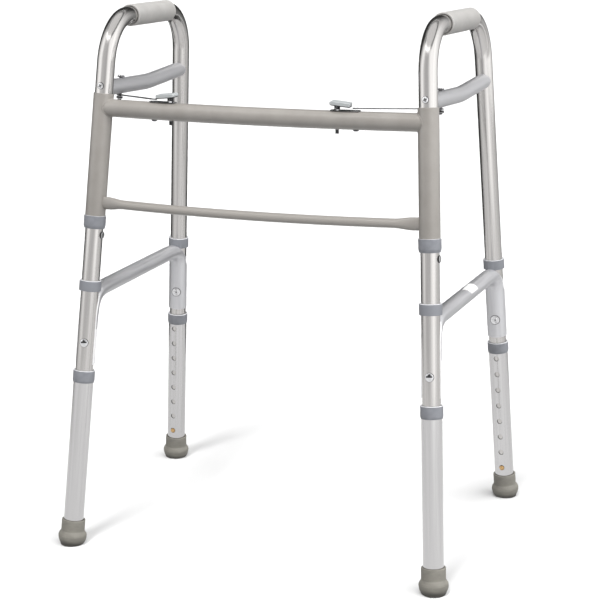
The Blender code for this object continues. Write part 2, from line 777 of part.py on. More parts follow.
def build_extension(word, side, leg, paints):
    label = f"{leg}_{word}"
    facing = math.copysign(math.pi / 2, HOLE_FACING[leg])
    top = EXTENSION_TOP_Z[leg]
    extension = ring(
        f"leg_extension_{label}", OUTER_TUBE_RADIUS, OUTER_TUBE_BORE,
        leg_length(leg, EXTENSION_FOOT_Z, top), leg_matrix(side, leg, EXTENSION_FOOT_Z), paints["aluminium"],
    )
    lowest = leg_matrix(side, leg, LOWEST_HOLE_Z)
    for i in range(HOLE_COUNT):
        raised = lowest @ Matrix.Translation((0, 0, HOLE_PITCH * i))
        place = radial(raised, facing) @ Matrix.Translation((0, 0, 0.012))
        drill(extension, place, HOLE_RADIUS, 0.012)
    collar = f"extension_collar_{label}"
    build_cap_collar(collar, side, leg, EXTENSION_COLLAR_Z[leg], top, paints["collar"])
    build_tip(label, side, leg, paints["rubber"])


def build_tip(label, side, leg, paint):
    """A rubber foot: a neck, a bulge near the floor and a sole cut level."""
    below = 0.006
    start = -below
    top = leg_length(leg, 0.0, TIP_TOP_Z)
    floor = leg_length(leg, 0.0, EXTENSION_FOOT_Z) - GAP
    bore = around(OUTER_TUBE_RADIUS)
    profile = [
        (0.0, floor),
        (bore, floor),
        (bore, top),
        (TIP_NECK_RADIUS - 0.0005, top),
        (TIP_NECK_RADIUS, top - 0.0008),
        (TIP_NECK_RADIUS + 0.0003, 0.0195),
        (TIP_NECK_RADIUS + 0.0016, 0.0172),
        (TIP_BULGE_RADIUS - 0.0006, 0.0148),
        (TIP_BULGE_RADIUS, 0.0122),
        (TIP_BULGE_RADIUS - 0.0004, 0.0082),
        (TIP_BULGE_RADIUS - 0.0014, 0.0046),
        (TIP_BULGE_RADIUS - 0.0030, 0.0016),
        (TIP_BULGE_RADIUS - 0.0055, start),
        (0.0, start),
    ]
    tip = turned(f"rubber_tip_{label}", profile, leg_matrix(side, leg, 0.0), paint)
    slab = box_cutter(
        f"floor_below_{label}", (0.08, 0.08, 0.03),
        Matrix.Translation(leg_point(side, leg, 0.0) - Vector((0, 0, 0.015))),
    )
    boolean(tip, slab, "DIFFERENCE")


def build_snap_button(label, place, paint):
    """A V of spring strip inside the tube with a button on one leaf, standing out through both tubes."""
    leaf = 0.0098
    thickness = 0.0008
    tall = 0.030
    inner = leaf - thickness
    outline = [(0.006, leaf), (0.006, inner)]
    bend = [math.pi / 2 + math.pi * i / 6 for i in range(7)]
    outline += [(-tall + inner * math.cos(a), inner * math.sin(a)) for a in bend]
    outline += [(-0.004, -inner), (-0.004, -leaf)]
    outline += [(-tall + leaf * math.cos(a), leaf * math.sin(a)) for a in reversed(bend)]
    # The outline lies in the plane of the leg's axis and the button.
    flat = place @ Matrix.Rotation(math.pi / 2, 4, "X")
    spring = plate(f"snap_button_{label}", outline, 0.0070, flat, paint)
    reach = BUTTON_REACH
    profile = [
        (0.0, reach),
        (BUTTON_RADIUS * 0.7, reach - 0.0006),
        (BUTTON_RADIUS, reach - 0.0018),
        (BUTTON_RADIUS, inner + 0.0002),
        (0.0, inner + 0.0002),
    ]
    stud = turned(f"button_stud_{label}", profile, place, None, steps=12)
    boolean(spring, stud, "UNION")


# Fold latches

def stadium(start, end, half_width, steps=5):
    """A flat bar's outline along X, with round ends."""
    turn = [-math.pi / 2 + math.pi * i / steps for i in range(steps + 1)]
    right = [(end + half_width * math.cos(a), half_width * math.sin(a)) for a in turn]
    left = [(start - half_width * math.cos(a), -half_width * math.sin(a)) for a in turn]
    return right + left


def build_latch_plate(word, side, paint):
    top = CROSSBAR_Z + CROSSBAR_RADIUS
    knob = LATCH_KNOB_OFFSET[word]
    place = crossbar_matrix(side, knob, top + GAP + PLATE_THICKNESS / 2)
    bracket = plate(
        f"latch_plate_{word}", stadium(-0.001, LATCH_PIN_STEP + 0.004, 0.0055), PLATE_THICKNESS, place, paint
    )
    drill(bracket, place, LATCH_RIVET_RADIUS)
    drill(bracket, place @ Matrix.Translation((LATCH_PIN_STEP, 0, 0)), LATCH_PIN_RADIUS)


def build_latch_rivet(word, side, paint):
    """Through the crossbar from below, flush with the plate on top."""
    low = CROSSBAR_Z - CROSSBAR_RADIUS - GAP
    high = CROSSBAR_Z + CROSSBAR_RADIUS + PLATE_THICKNESS
    profile = [
        (0.0, high - low),
        (LATCH_RIVET_RADIUS, high - low),
        (LATCH_RIVET_RADIUS, 0.0),
        (0.0039, 0.0),
        (0.0036, -0.0014),
        (0.0020, -0.0024),
        (0.0, -0.0026),
    ]
    turned(f"latch_rivet_{word}", profile, crossbar_matrix(side, LATCH_KNOB_OFFSET[word], low), paint, steps=12)


def build_latch_pin(word, side, paint):
    """Stands through the plate and crossbar, with a cross pivot for the paddle above and a split end below."""
    offset = LATCH_KNOB_OFFSET[word] + LATCH_PIN_STEP
    place = crossbar_matrix(side, offset, PADDLE_PIVOT_Z)
    low = CROSSBAR_Z - CROSSBAR_RADIUS - LATCH_PIN_TAIL - PADDLE_PIVOT_Z
    profile = [(0.0, 0.0), (LATCH_PIN_RADIUS, 0.0), (LATCH_PIN_RADIUS, low), (0.0, low)]
    pin = turned(f"latch_pin_{word}", profile, place, paint, steps=12)
    pivot = cylinder(
        f"latch_pivot_{word}", PADDLE_PIVOT_RADIUS, PADDLE_WIDTH - 0.0008,
        place @ Matrix.Rotation(math.pi / 2, 4, "X"), sides=12,
    )
    boolean(pin, pivot, "UNION")
    slot = box_cutter(
        f"latch_pin_split_{word}", (LATCH_PIN_SPLIT, 0.02, 0.009),
        place @ Matrix.Translation((0, 0, low)),
    )
    boolean(pin, slot, "DIFFERENCE")


def paddle_matrix(word, side):
    offset = LATCH_KNOB_OFFSET[word] + LATCH_PIN_STEP
    return crossbar_matrix(side, offset, PADDLE_PIVOT_Z) @ Matrix.Rotation(-PADDLE_TILT, 4, "Y")


def build_paddle(word, side, paint):
    """A hollow rocker cap over the pivot, tipped up at its inner end, where the edge rolls over."""
    place = paddle_matrix(word, side)
    half = PADDLE_HALF_HEIGHT
    roll = [math.pi / 2 - math.pi * i / 6 for i in range(7)]
    outline = [(-PADDLE_OUTER_REACH, -half), (-PADDLE_OUTER_REACH, half - 0.0008)]
    outline.append((-PADDLE_OUTER_REACH + 0.0012, half))
    centre = PADDLE_INNER_REACH - half
    outline += [(centre + half * math.cos(a), half * math.sin(a)) for a in roll]
    upright = place @ Matrix.Rotation(math.pi / 2, 4, "X")
    paddle = plate(f"latch_paddle_{word}", outline, PADDLE_WIDTH, upright, paint)
    inside = (PADDLE_OUTER_REACH + centre - 2 * PADDLE_WALL, PADDLE_WIDTH - 2 * PADDLE_WALL, 2 * half)
    middle = ((centre - PADDLE_OUTER_REACH) / 2, 0, -PADDLE_WALL)
    boolean(paddle, box_cutter(f"paddle_inside_{word}", inside, place @ Matrix.Translation(middle)), "DIFFERENCE")
    bore = cylinder(
        f"paddle_bore_{word}", around(PADDLE_PIVOT_RADIUS, 12), PADDLE_WIDTH + 0.004,
        place @ Matrix.Rotation(math.pi / 2, 4, "X"), sides=12,
    )
    boolean(paddle, bore, "DIFFERENCE")


def build_stay(word, side, paint):
    """The flat stay from the brace bolt to the crossbar, with a low round knob riveted at its inner end."""
    pivot = brace_bolt_matrix(side, STAY_OUTER_Z)
    outer = pivot.translation
    along = crossbar_point(side, LATCH_KNOB_OFFSET[word], STAY_INNER_Z) - outer
    length = along.length
    up = pivot.col[2].xyz
    place = frame_matrix(outer, along, up - along * up.dot(along) / length**2)
    outline = stadium(0.0, length, STAY_WIDTH / 2)
    stay = plate(f"latch_stay_{word}", outline, STAY_THICKNESS, place, paint)
    profile = [
        (0.0, KNOB_TOP),
        (KNOB_RADIUS - 0.0003, KNOB_TOP),
        (KNOB_RADIUS, KNOB_TOP - 0.0003),
        (KNOB_RADIUS, -KNOB_FOOT),
        (0.0, -KNOB_FOOT),
    ]
    knob = turned(f"knob_{word}", profile, place @ Matrix.Translation((length, 0, 0)), None, steps=12)
    boolean(stay, knob, "UNION")
    drill(stay, pivot, BOLT_SHANK)


def build_latch(word, side, paints):
    build_latch_plate(word, side, paints["steel"])
    build_latch_rivet(word, side, paints["steel"])
    build_latch_pin(word, side, paints["steel"])
    on_joint(f"paddle_pivot_{word}", paddle_matrix(word, side), build_paddle, word, side, paints["paddle"])


# Joints

def on_joint(name, matrix, build, *arguments):
    """Runs a builder, and parents what it adds to an empty that stands on the joint's axis."""
    before = set(walker.objects)
    build(*arguments)
    empty = bpy.data.objects.new(name, None)
    empty.empty_display_size = 0.02
    empty.matrix_world = matrix
    walker.objects.link(empty)
    for obj in set(walker.objects) - before - {empty}:
        if obj.parent is None:
            obj.parent = empty
            obj.matrix_parent_inverse = matrix.inverted()


def build_moving_side(word, side, paints):
    """Everything that swings about the front leg: the side frame, its two feet and the stay on its bolt."""
    build_side(word, side, paints)
    on_joint(
        f"stay_pivot_{word}", brace_bolt_matrix(side, STAY_OUTER_Z), build_stay, word, side, paints["steel"]
    )
    for leg in LEGS:
        label = f"{leg}_{word}"
        slide = leg_matrix(side, leg, LOWEST_HOLE_Z)
        on_joint(f"leg_slide_{label}", slide, build_extension, word, side, leg, paints)
        facing = math.copysign(math.pi / 2, HOLE_FACING[leg])
        press = radial(slide, facing)
        on_joint(f"button_slide_{label}", press, build_snap_button, label, press, paints["brass"])


def build_walker():
    paints = {
        "aluminium": new_material("satin_aluminium", (0.62, 0.63, 0.64), 1.0, 0.38),
        "taupe": new_material("taupe_paint", (0.37, 0.35, 0.32), 0.0, 0.42),
        "brace": new_material("grey_paint", (0.37, 0.37, 0.40), 0.0, 0.45),
        "collar": new_material("slate_plastic", (0.17, 0.19, 0.22), 0.0, 0.5),
        "grip": new_material("grey_grip", (0.36, 0.34, 0.33), 0.0, 0.7),
        "rubber": new_material("grey_rubber", (0.20, 0.20, 0.17), 0.0, 0.75),
        "steel": new_material("bright_steel", (0.65, 0.65, 0.66), 1.0, 0.3),
        "brass": new_material("brass", (0.75, 0.50, 0.22), 1.0, 0.35),
        "paddle": new_material("pale_plastic", (0.52, 0.57, 0.58), 0.0, 0.45),
    }
    build_front_frame(paints)
    for word, side in SIDE_NAMES.items():
        build_latch(word, side, paints)
        hinge = leg_matrix(side, "front", HINGE_COLLAR_Z[0])
        on_joint(f"side_hinge_{word}", hinge, build_moving_side, word, side, paints)


clear_scene()
walker = new_collection("folding_walker", False)
cutters = new_collection("cutters", True)
build_walker()
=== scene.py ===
import math

import bmesh
import bpy
import numpy as np
from mathutils import Matrix, Vector
from mathutils.geometry import interpolate_bezier


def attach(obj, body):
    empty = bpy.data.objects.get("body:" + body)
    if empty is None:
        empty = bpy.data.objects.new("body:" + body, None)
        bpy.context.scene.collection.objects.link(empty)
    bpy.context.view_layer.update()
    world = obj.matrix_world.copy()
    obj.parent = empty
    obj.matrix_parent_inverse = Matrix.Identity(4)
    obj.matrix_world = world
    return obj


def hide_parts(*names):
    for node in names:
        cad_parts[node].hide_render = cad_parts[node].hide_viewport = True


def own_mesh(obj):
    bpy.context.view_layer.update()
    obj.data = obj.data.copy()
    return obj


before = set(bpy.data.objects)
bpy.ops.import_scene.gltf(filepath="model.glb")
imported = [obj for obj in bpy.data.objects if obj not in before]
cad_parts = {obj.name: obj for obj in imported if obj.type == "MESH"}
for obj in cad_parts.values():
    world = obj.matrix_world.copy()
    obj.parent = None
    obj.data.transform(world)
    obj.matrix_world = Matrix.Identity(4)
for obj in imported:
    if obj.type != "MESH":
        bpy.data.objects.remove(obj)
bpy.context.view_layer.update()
print("frame loaded with", len(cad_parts), "nodes")

sideSigns = {"left": -1, "right": 1}
upward = Vector((0, 0, 1))
acrossWalker = Vector((1, 0, 0))

# Leg axes on the floor, and how far they lean per metre of height
legLines = {
    "front": {"x": 0.2739, "y": -0.19635, "leanIn": 0.0584, "leanBack": 0.1253},
    "rear": {"x": 0.2808, "y": 0.19635, "leanIn": 0.0602, "leanBack": -0.0454},
}
tubeSizes = {"legRadius": 0.0127, "legWall": 0.0014, "sleeveRadius": 0.0143, "sleeveBore": 0.01325,
             "collarRadius": 0.0156, "sides": 64, "boreOverrun": 0.004}
snugGap, looseGap = 0.0002, 0.0004  # clearances between pieces that fit over each other


def legPoint(side, leg, height):
    line = legLines[leg]
    inward, along = line["x"] - line["leanIn"] * height, line["y"] + line["leanBack"] * height
    return Vector((side * inward, along, height))


def standMatrix(origin, alongX, alongZ):  # Z exactly alongZ, X as near alongX as it can be
    z = alongZ.normalized()
    x = (alongX - z * alongX.dot(z)).normalized()
    matrix = Matrix((x, z.cross(x), z)).transposed().to_4x4()
    matrix.translation = origin
    return matrix


def legMatrix(side, leg, height):  # local Z up the leg, local Y towards the open side
    up = legPoint(side, leg, 1) - legPoint(side, leg, 0)
    return standMatrix(legPoint(side, leg, height), acrossWalker, up)


def legLength(leg, low, high):
    line = legLines[leg]
    return (high - low) * math.sqrt(1 + line["leanIn"] ** 2 + line["leanBack"] ** 2)


def facing(matrix, degrees):  # Z turned out of the leg, from local X towards local Y
    return matrix @ Matrix.Rotation(math.radians(degrees), 4, "Z") @ Matrix.Rotation(math.pi / 2, 4, "Y")


def roundedRoute(corners, radii, steps=28):  # straight runs joined by arcs
    route = [corners[0]]
    for before, corner, after, radius in zip(corners, corners[1:], corners[2:], radii):
        back, ahead = (before - corner).normalized(), (after - corner).normalized()
        half = back.angle(ahead) / 2
        centre = corner + (back + ahead).normalized() * radius / math.sin(half)
        start = corner + back * radius / math.tan(half) - centre
        turn, normal = math.pi - 2 * half, ahead.cross(back)
        route += [centre + Matrix.Rotation(turn * i / steps, 3, normal) @ start for i in range(steps + 1)]
    return route + [corners[-1]]


# Finishes

def addNode(tree, kind, values=None, **settings):
    node = tree.nodes.new(kind)
    for key, value in settings.items():
        setattr(node, key, value)
    for key, value in (values or {}).items():
        node.inputs[key].default_value = value
    return node


def grainNoise(tree, stretch, detail):  # noise in the piece's own straightened space
    grain = addNode(tree, "ShaderNodeAttribute", attribute_name="grain")
    stretch = stretch if isinstance(stretch, tuple) else (stretch,) * 3
    mapping = addNode(tree, "ShaderNodeMapping", {"Scale": stretch})
    noise = addNode(tree, "ShaderNodeTexNoise", {"Scale": 1.0, "Detail": detail})
    tree.links.new(grain.outputs["Vector"], mapping.inputs["Vector"])
    tree.links.new(mapping.outputs["Vector"], noise.inputs["Vector"])
    return noise.outputs[0]


def mapRange(tree, source, low, high, toLow=0.0, toHigh=1.0):
    spread = addNode(tree, "ShaderNodeMapRange", {
        "From Min": low, "From Max": high, "To Min": toLow, "To Max": toHigh})
    tree.links.new(source, spread.inputs["Value"])
    return spread.outputs["Result"]


def mixColours(tree, share, first, second):  # a colour is three numbers or another node's output
    mix = addNode(tree, "ShaderNodeMix", data_type="RGBA")
    tree.links.new(share, mix.inputs["Factor"])
    for label, colour in (("A", first), ("B", second)):
        if isinstance(colour, tuple):
            mix.inputs[label].default_value = (*colour, 1)
        else:
            tree.links.new(colour, mix.inputs[label])
    return mix.outputs["Result"]


# Light and dark tone, smooth and rough places, the metal's share, and the scale of the grain and fine bumps,
# as one number or across, across and along the piece
finishSettings = {
    "drawnAluminium": {
        "light": (0.575, 0.560, 0.548), "dark": (0.530, 0.515, 0.503), "roughness": (0.15, 0.22),
        "metal": 1.0, "grain": (420, 420, 5), "bumps": (900, 900, 9), "bumpHeight": 0.00002},
    "anodisedAluminium": {
        "light": (0.605, 0.597, 0.598), "dark": (0.570, 0.562, 0.563), "roughness": (0.17, 0.24),
        "metal": 1.0, "grain": (300, 300, 8), "bumps": 1500, "bumpHeight": 0.00003},
    "satinMetal": {
        "light": (0.590, 0.590, 0.606), "dark": (0.530, 0.530, 0.546), "roughness": (0.30, 0.42),
        "metal": 0.6, "grain": (260, 260, 12), "bumps": 1500, "bumpHeight": 0.00003},
    "taupePaint": {
        "light": (0.286, 0.268, 0.247), "dark": (0.260, 0.243, 0.223), "roughness": (0.32, 0.44),
        "grain": 40, "bumps": 700, "bumpHeight": 0.00008, "coat": (0.6, 0.16)},
    "slatePlastic": {
        "light": (0.195, 0.202, 0.222), "dark": (0.165, 0.172, 0.192), "roughness": (0.42, 0.56),
        # the paler edge colour is a painted highlight on the rims, with edge wear
        "grain": 120, "bumps": 2200, "bumpHeight": 0.00003, "wearAndHighlight": (0.42, 0.44, 0.48)},
    "paleRim": {
        "light": (0.640, 0.645, 0.660), "dark": (0.560, 0.565, 0.580), "roughness": (0.42, 0.56),
        "grain": 120, "bumps": 2200, "bumpHeight": 0.00003},
    # Near-white for the painted highlight on the lower braces' saddles and bend edges
    "paleEdge": {
        "light": (0.880, 0.880, 0.885), "dark": (0.820, 0.820, 0.825), "roughness": (0.36, 0.50),
        "grain": (260, 260, 12), "bumps": 1500, "bumpHeight": 0.00003},
    "gripVinyl": {
        "light": (0.390, 0.380, 0.368), "dark": (0.350, 0.340, 0.328), "roughness": (0.55, 0.72),
        # the paler edge colour is a painted highlight on the grip's rims, with edge wear
        "grain": 60, "bumps": 1600, "bumpHeight": 0.00010, "wearAndHighlight": (0.55, 0.54, 0.52)},
    "tipRubber": {
        "light": (0.205, 0.196, 0.170), "dark": (0.160, 0.152, 0.132), "roughness": (0.55, 0.75),
        "grain": (70, 70, 160), "bumps": 900, "bumpHeight": 0.00009, "sole": (0.05, 0.047, 0.04)},
    "zincSteel": {
        "light": (0.74, 0.74, 0.75), "dark": (0.64, 0.64, 0.65), "roughness": (0.10, 0.20),
        "metal": 1.0, "grain": 260, "bumps": 900, "bumpHeight": 0.00002},
    # Painted shade and painted reflection: near-black steel for the shaded sides, rings and recesses of small
    # steel pieces, the pin below the crossbar, and the dark room mirrored in domes
    "darkSteel": {
        "light": (0.022, 0.022, 0.024), "dark": (0.010, 0.010, 0.011), "roughness": (0.40, 0.60),
        "grain": 260, "bumps": 900, "bumpHeight": 0.00002},
    "buttonBrass": {
        "light": (0.64, 0.43, 0.21), "dark": (0.46, 0.29, 0.13), "roughness": (0.22, 0.38),
        "metal": 1.0, "grain": 500, "bumps": 1800, "bumpHeight": 0.00002},
    "palePlastic": {
        "light": (0.430, 0.448, 0.452), "dark": (0.390, 0.408, 0.412), "roughness": (0.30, 0.44),
        "grain": 150, "bumps": 1800, "bumpHeight": 0.00003},
    # Black for the latch spring's wire, and painted shade inside the paddle's hollow with a painted shadow
    # along its lower lip
    "darkPlastic": {
        "light": (0.030, 0.031, 0.034), "dark": (0.018, 0.018, 0.020), "roughness": (0.35, 0.55),
        "grain": 150, "bumps": 1500, "bumpHeight": 0.00003},
    "labelPaper": {
        "light": (0.90, 0.90, 0.89), "dark": (0.84, 0.84, 0.83), "roughness": (0.40, 0.55),
        "grain": 300, "bumps": 1500, "bumpHeight": 0.00002},
}
# How the noise turns into tone and roughness, where an edge counts as worn and gets a painted highlight, and
# where the dark sole ends
noiseSettings = {"detail": 3.0, "bumpDetail": 2.0, "tone": (0.35, 0.65), "roughness": (0.3, 0.7),
                 "edges": (0.505, 0.56), "wearAndHighlightShare": 0.4, "sole": (0.0015, 0.0080)}


def buildFinish(name):
    s, noise = finishSettings[name], noiseSettings
    finish = bpy.data.materials.new(name)
    finish.use_nodes = True
    tree = finish.node_tree
    shader = tree.nodes["Principled BSDF"].inputs
    shader["Base Color"].default_value = (*s["light"], 1)
    shader["Metallic"].default_value = s.get("metal", 0.0)
    shader["Roughness"].default_value = s["roughness"][1]
    streaks = grainNoise(tree, s["grain"], noise["detail"])
    tree.links.new(mapRange(tree, streaks, *noise["roughness"], *s["roughness"]), shader["Roughness"])
    bump = addNode(tree, "ShaderNodeBump", {"Strength": 1.0, "Distance": s["bumpHeight"]})
    tree.links.new(grainNoise(tree, s["bumps"], noise["bumpDetail"]), bump.inputs["Height"])
    tree.links.new(bump.outputs["Normal"], shader["Normal"])
    colour = mixColours(tree, mapRange(tree, streaks, *noise["tone"]), s["dark"], s["light"])
    if "coat" in s:
        shader["Coat Weight"].default_value, shader["Coat Roughness"].default_value = s["coat"]
    if "wearAndHighlight" in s:  # paler on sharp edges: a painted highlight where they catch the light, with edge wear
        shape = addNode(tree, "ShaderNodeNewGeometry")
        edge = mapRange(tree, shape.outputs["Pointiness"], *noise["edges"], 0.0, noise["wearAndHighlightShare"])
        colour = mixColours(tree, edge, colour, s["wearAndHighlight"])
    if "sole" in s:  # the tip is darkest where it rolls under to the floor
        grain = addNode(tree, "ShaderNodeAttribute", attribute_name="grain")
        parts = addNode(tree, "ShaderNodeSeparateXYZ")
        tree.links.new(grain.outputs["Vector"], parts.inputs["Vector"])
        colour = mixColours(tree, mapRange(tree, parts.outputs["Z"], *noise["sole"]), s["sole"], colour)
    tree.links.new(colour, shader["Base Color"])
    return finish


finishes = {name: buildFinish(name) for name in finishSettings}
print("finishes made:", len(finishes))


# Mesh helpers

# Each point's place in the piece as if it were straight: across, across the other way, along
def storeGrain(mesh, path, across):
    points = np.array([vertex.co for vertex in mesh.vertices]).reshape(-1, 3)
    path, across = np.array(path), np.array(across)
    grain, nearest, run = np.zeros((len(points), 3)), np.full(len(points), 1e9), 0.0
    for i in range(len(path) - 1):
        step = path[i + 1] - path[i]
        length = np.linalg.norm(step)
        tangent = step / length
        share = (points - path[i]) @ tangent
        low = -1e9 if i == 0 else 0.0
        high = 1e9 if i == len(path) - 2 else length
        share = np.clip(share, low, high)
        offset = points - path[i] - share[:, None] * tangent
        gap = np.linalg.norm(offset, axis=1)
        closer = gap < nearest
        other = np.cross(tangent, across)
        places = np.stack([offset @ across, offset @ other, share + run], axis=1)
        grain[closer] = places[closer]
        nearest[closer] = gap[closer]
        run += length
    layer = mesh.attributes.new("grain", "FLOAT_VECTOR", "POINT")
    layer.data.foreach_set("vector", grain.astype(np.float32).ravel())


def smoothShade(mesh, degrees=38):
    mesh.shade_smooth()
    mesh.set_sharp_from_angle(angle=math.radians(degrees))


def placeObject(name, data):
    made = bpy.data.objects.new(name, data)
    bpy.context.scene.collection.objects.link(made)
    return made


def newObject(name, mesh, finish=None):
    piece = placeObject(name, mesh)
    if finish:
        mesh.materials.clear()
        mesh.materials.append(finishes[finish])
    return piece


def shadeFaces(mesh, finish, chosen):  # gives the chosen faces a second finish
    mesh.materials.append(finishes[finish])
    index = len(mesh.materials) - 1
    for face in mesh.polygons:
        if chosen(face):
            face.material_index = index


def setOnFrame(piece, body, slot, *nodes):
    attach(piece, body)
    if nodes:
        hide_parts(*nodes)


def softened(profile, radius, steps=4, closed=False):  # rounds a profile's corners
    count = len(profile)
    points = [Vector(point) for point in profile]
    made = []
    for i, corner in enumerate(points):
        if not closed and i in (0, count - 1):
            made.append(corner)
            continue
        back = points[i - 1] - corner
        ahead = points[(i + 1) % count] - corner
        if back.length * ahead.length < 1e-12 or abs(math.pi - back.angle(ahead)) < 0.05:
            made.append(corner)
            continue
        reach = min(radius / math.tan(back.angle(ahead) / 2), back.length * 0.48, ahead.length * 0.48)
        start, end = corner + back.normalized() * reach, corner + ahead.normalized() * reach
        for k in range(steps + 1):
            t = k / steps
            made.append(start * (1 - t) ** 2 + corner * 2 * t * (1 - t) + end * t * t)
    return [tuple(point) for point in made]


def finishedMesh(name, shape, outward=True):
    if outward:
        bmesh.ops.recalc_face_normals(shape, faces=shape.faces)
    mesh = bpy.data.meshes.new(name)
    shape.to_mesh(mesh)
    shape.free()
    return mesh


def boxMesh(place, size):
    shape = bmesh.new()
    bmesh.ops.create_cube(shape, size=1.0, matrix=place @ Matrix.Diagonal((*size, 1)))
    return finishedMesh("box", shape, outward=False)


def addMesh(mesh, other):
    shape = bmesh.new()
    shape.from_mesh(mesh)
    shape.from_mesh(other)
    shape.to_mesh(mesh)
    shape.free()
    bpy.data.meshes.remove(other)


def latheMesh(name, profile, matrix, closed=False, sides=None):  # radius and height, turned round local Z
    sides = sides or tubeSizes["sides"]
    angles = [2 * math.pi * k / sides for k in range(sides)]
    turns = [(math.cos(a), math.sin(a)) for a in angles]
    shape = bmesh.new()
    rings = []
    for radius, height in profile:
        if radius < 1e-7:
            rings.append([shape.verts.new((0, 0, height))])
        else:
            rings.append([shape.verts.new((radius * x, radius * y, height)) for x, y in turns])
    for first, second in zip(rings, rings[1:] + rings[:1] if closed else rings[1:]):
        for k in range(sides):
            n = (k + 1) % sides
            if len(first) == 1 and len(second) > 1:
                shape.faces.new((first[0], second[n], second[k]))
            elif len(second) == 1 and len(first) > 1:
                shape.faces.new((first[k], first[n], second[0]))
            elif len(first) > 1:
                shape.faces.new((first[k], first[n], second[n], second[k]))
    mesh = finishedMesh(name, shape)
    mesh.transform(matrix)
    return mesh


def grainOnAxis(mesh, matrix):
    origin, z = matrix.translation, matrix.col[2].xyz
    storeGrain(mesh, [origin, origin + z * 0.1], matrix.col[0].xyz)


def turnedPiece(name, profile, matrix, finish, closed=False, sides=None):
    mesh = latheMesh(name, profile, matrix, closed, sides)
    grainOnAxis(mesh, matrix)
    smoothShade(mesh)
    return newObject(name, mesh, finish)


def rodMesh(name, radius, low, high, matrix, sides=24):
    return latheMesh(name, [(0, low), (radius, low), (radius, high), (0, high)], matrix, sides=sides)


def helperObject(name, *meshes):  # a cutter or guide, dropped once it is used
    shape = bmesh.new()
    for mesh in meshes:
        shape.from_mesh(mesh)
        bpy.data.meshes.remove(mesh)
    return newObject(name, finishedMesh(name, shape, outward=False))


def dropObjects(*helpers):
    for helper in helpers:
        bpy.data.objects.remove(helper, do_unlink=True)


def bakeModifiers(piece):
    bpy.context.view_layer.update()
    graph = bpy.context.evaluated_depsgraph_get()
    mesh = bpy.data.meshes.new_from_object(piece.evaluated_get(graph), depsgraph=graph)
    piece.modifiers.clear()
    piece.data = mesh
    mesh.name = piece.name
    return mesh


def cutAway(piece, *cutters, crossing=False):  # crossing says that the cutter's own parts overlap
    for cutter in cutters:
        cut = piece.modifiers.new("cut", "BOOLEAN")
        cut.operation, cut.solver, cut.use_self, cut.object = "DIFFERENCE", "EXACT", crossing, cutter
    mesh = bakeModifiers(piece)
    dropObjects(*cutters)
    return mesh


# Geometry Nodes

nodeKinds = {
    "circle": ("GeometryNodeCurvePrimitiveCircle", {}), "sweep": ("GeometryNodeCurveToMesh", {}),
    "cylinder": ("GeometryNodeMeshCylinder", {}), "row": ("GeometryNodeMeshLine", {"mode": "OFFSET"}),
    "move": ("GeometryNodeSetPosition", {}), "transform": ("GeometryNodeTransform", {}),
    "endPoint": ("GeometryNodeCurveEndpointSelection", {}), "instances": ("GeometryNodeInstanceOnPoints", {}),
    "tangent": ("GeometryNodeInputTangent", {}), "normal": ("GeometryNodeInputNormal", {}),
    "spline": ("GeometryNodeSplineParameter", {}), "object": ("GeometryNodeObjectInfo", {}),
    "multiply": ("ShaderNodeMath", {"operation": "MULTIPLY"}),
    "divide": ("ShaderNodeMath", {"operation": "DIVIDE"}),
    "subtract": ("ShaderNodeMath", {"operation": "SUBTRACT"}),
    "sine": ("ShaderNodeMath", {"operation": "SINE"}),
    "scale": ("ShaderNodeVectorMath", {"operation": "SCALE"}), "combine": ("ShaderNodeCombineXYZ", {}),
    "difference": ("GeometryNodeMeshBoolean", {"operation": "DIFFERENCE", "solver": "EXACT"}),
    "store": ("GeometryNodeStoreNamedAttribute", {"data_type": "FLOAT", "domain": "POINT"}),
    "number": ("GeometryNodeInputNamedAttribute", {"data_type": "FLOAT"}),
    "direction": ("GeometryNodeInputNamedAttribute", {"data_type": "FLOAT_VECTOR"}),
    "align": ("FunctionNodeAlignRotationToVector", {"axis": "Z"}),
    "realize": ("GeometryNodeRealizeInstances", {}), "paint": ("GeometryNodeSetMaterial", {}),
    "given": ("NodeGroupInput", {}), "result": ("NodeGroupOutput", {}),
}
# Every tree ends in real geometry with its finish on
treeEnd = ["real.Geometry > paint.Geometry", "given.Finish > paint.Material",
           "paint.Geometry > result.Geometry"]


def socketAt(sockets, label):
    return sockets[int(label) if label.isdigit() else label]


def buildTree(name, inputs, nodes, wires):  # nodes are "name kind", wires "node.output > node.input"
    tree = bpy.data.node_groups.new(name, "GeometryNodeTree")
    entries = [("Geometry", "INPUT", "Geometry")] + [(label, "INPUT", kind) for label, kind in inputs.items()]
    for label, way, kind in entries + [("Geometry", "OUTPUT", "Geometry")]:
        tree.interface.new_socket(label, in_out=way, socket_type="NodeSocket" + kind)
    objects = [label for label, kind in inputs.items() if kind == "Object"]
    ends = {"given given": {}, "result result": {}, "real realize": {}, "paint paint": {}}
    made = {}
    for key, values in {**ends, **nodes, **{label + " object": {} for label in objects}}.items():
        label, kind = key.split()
        made[label] = addNode(tree, nodeKinds[kind][0], values, **nodeKinds[kind][1])
    for wire in [f"given.{label} > {label}.Object" for label in objects] + wires + treeEnd:
        (first, output), (second, entry) = [end.split(".") for end in wire.split(" > ")]
        tree.links.new(socketAt(made[first].outputs, output), socketAt(made[second].inputs, entry))
    return tree


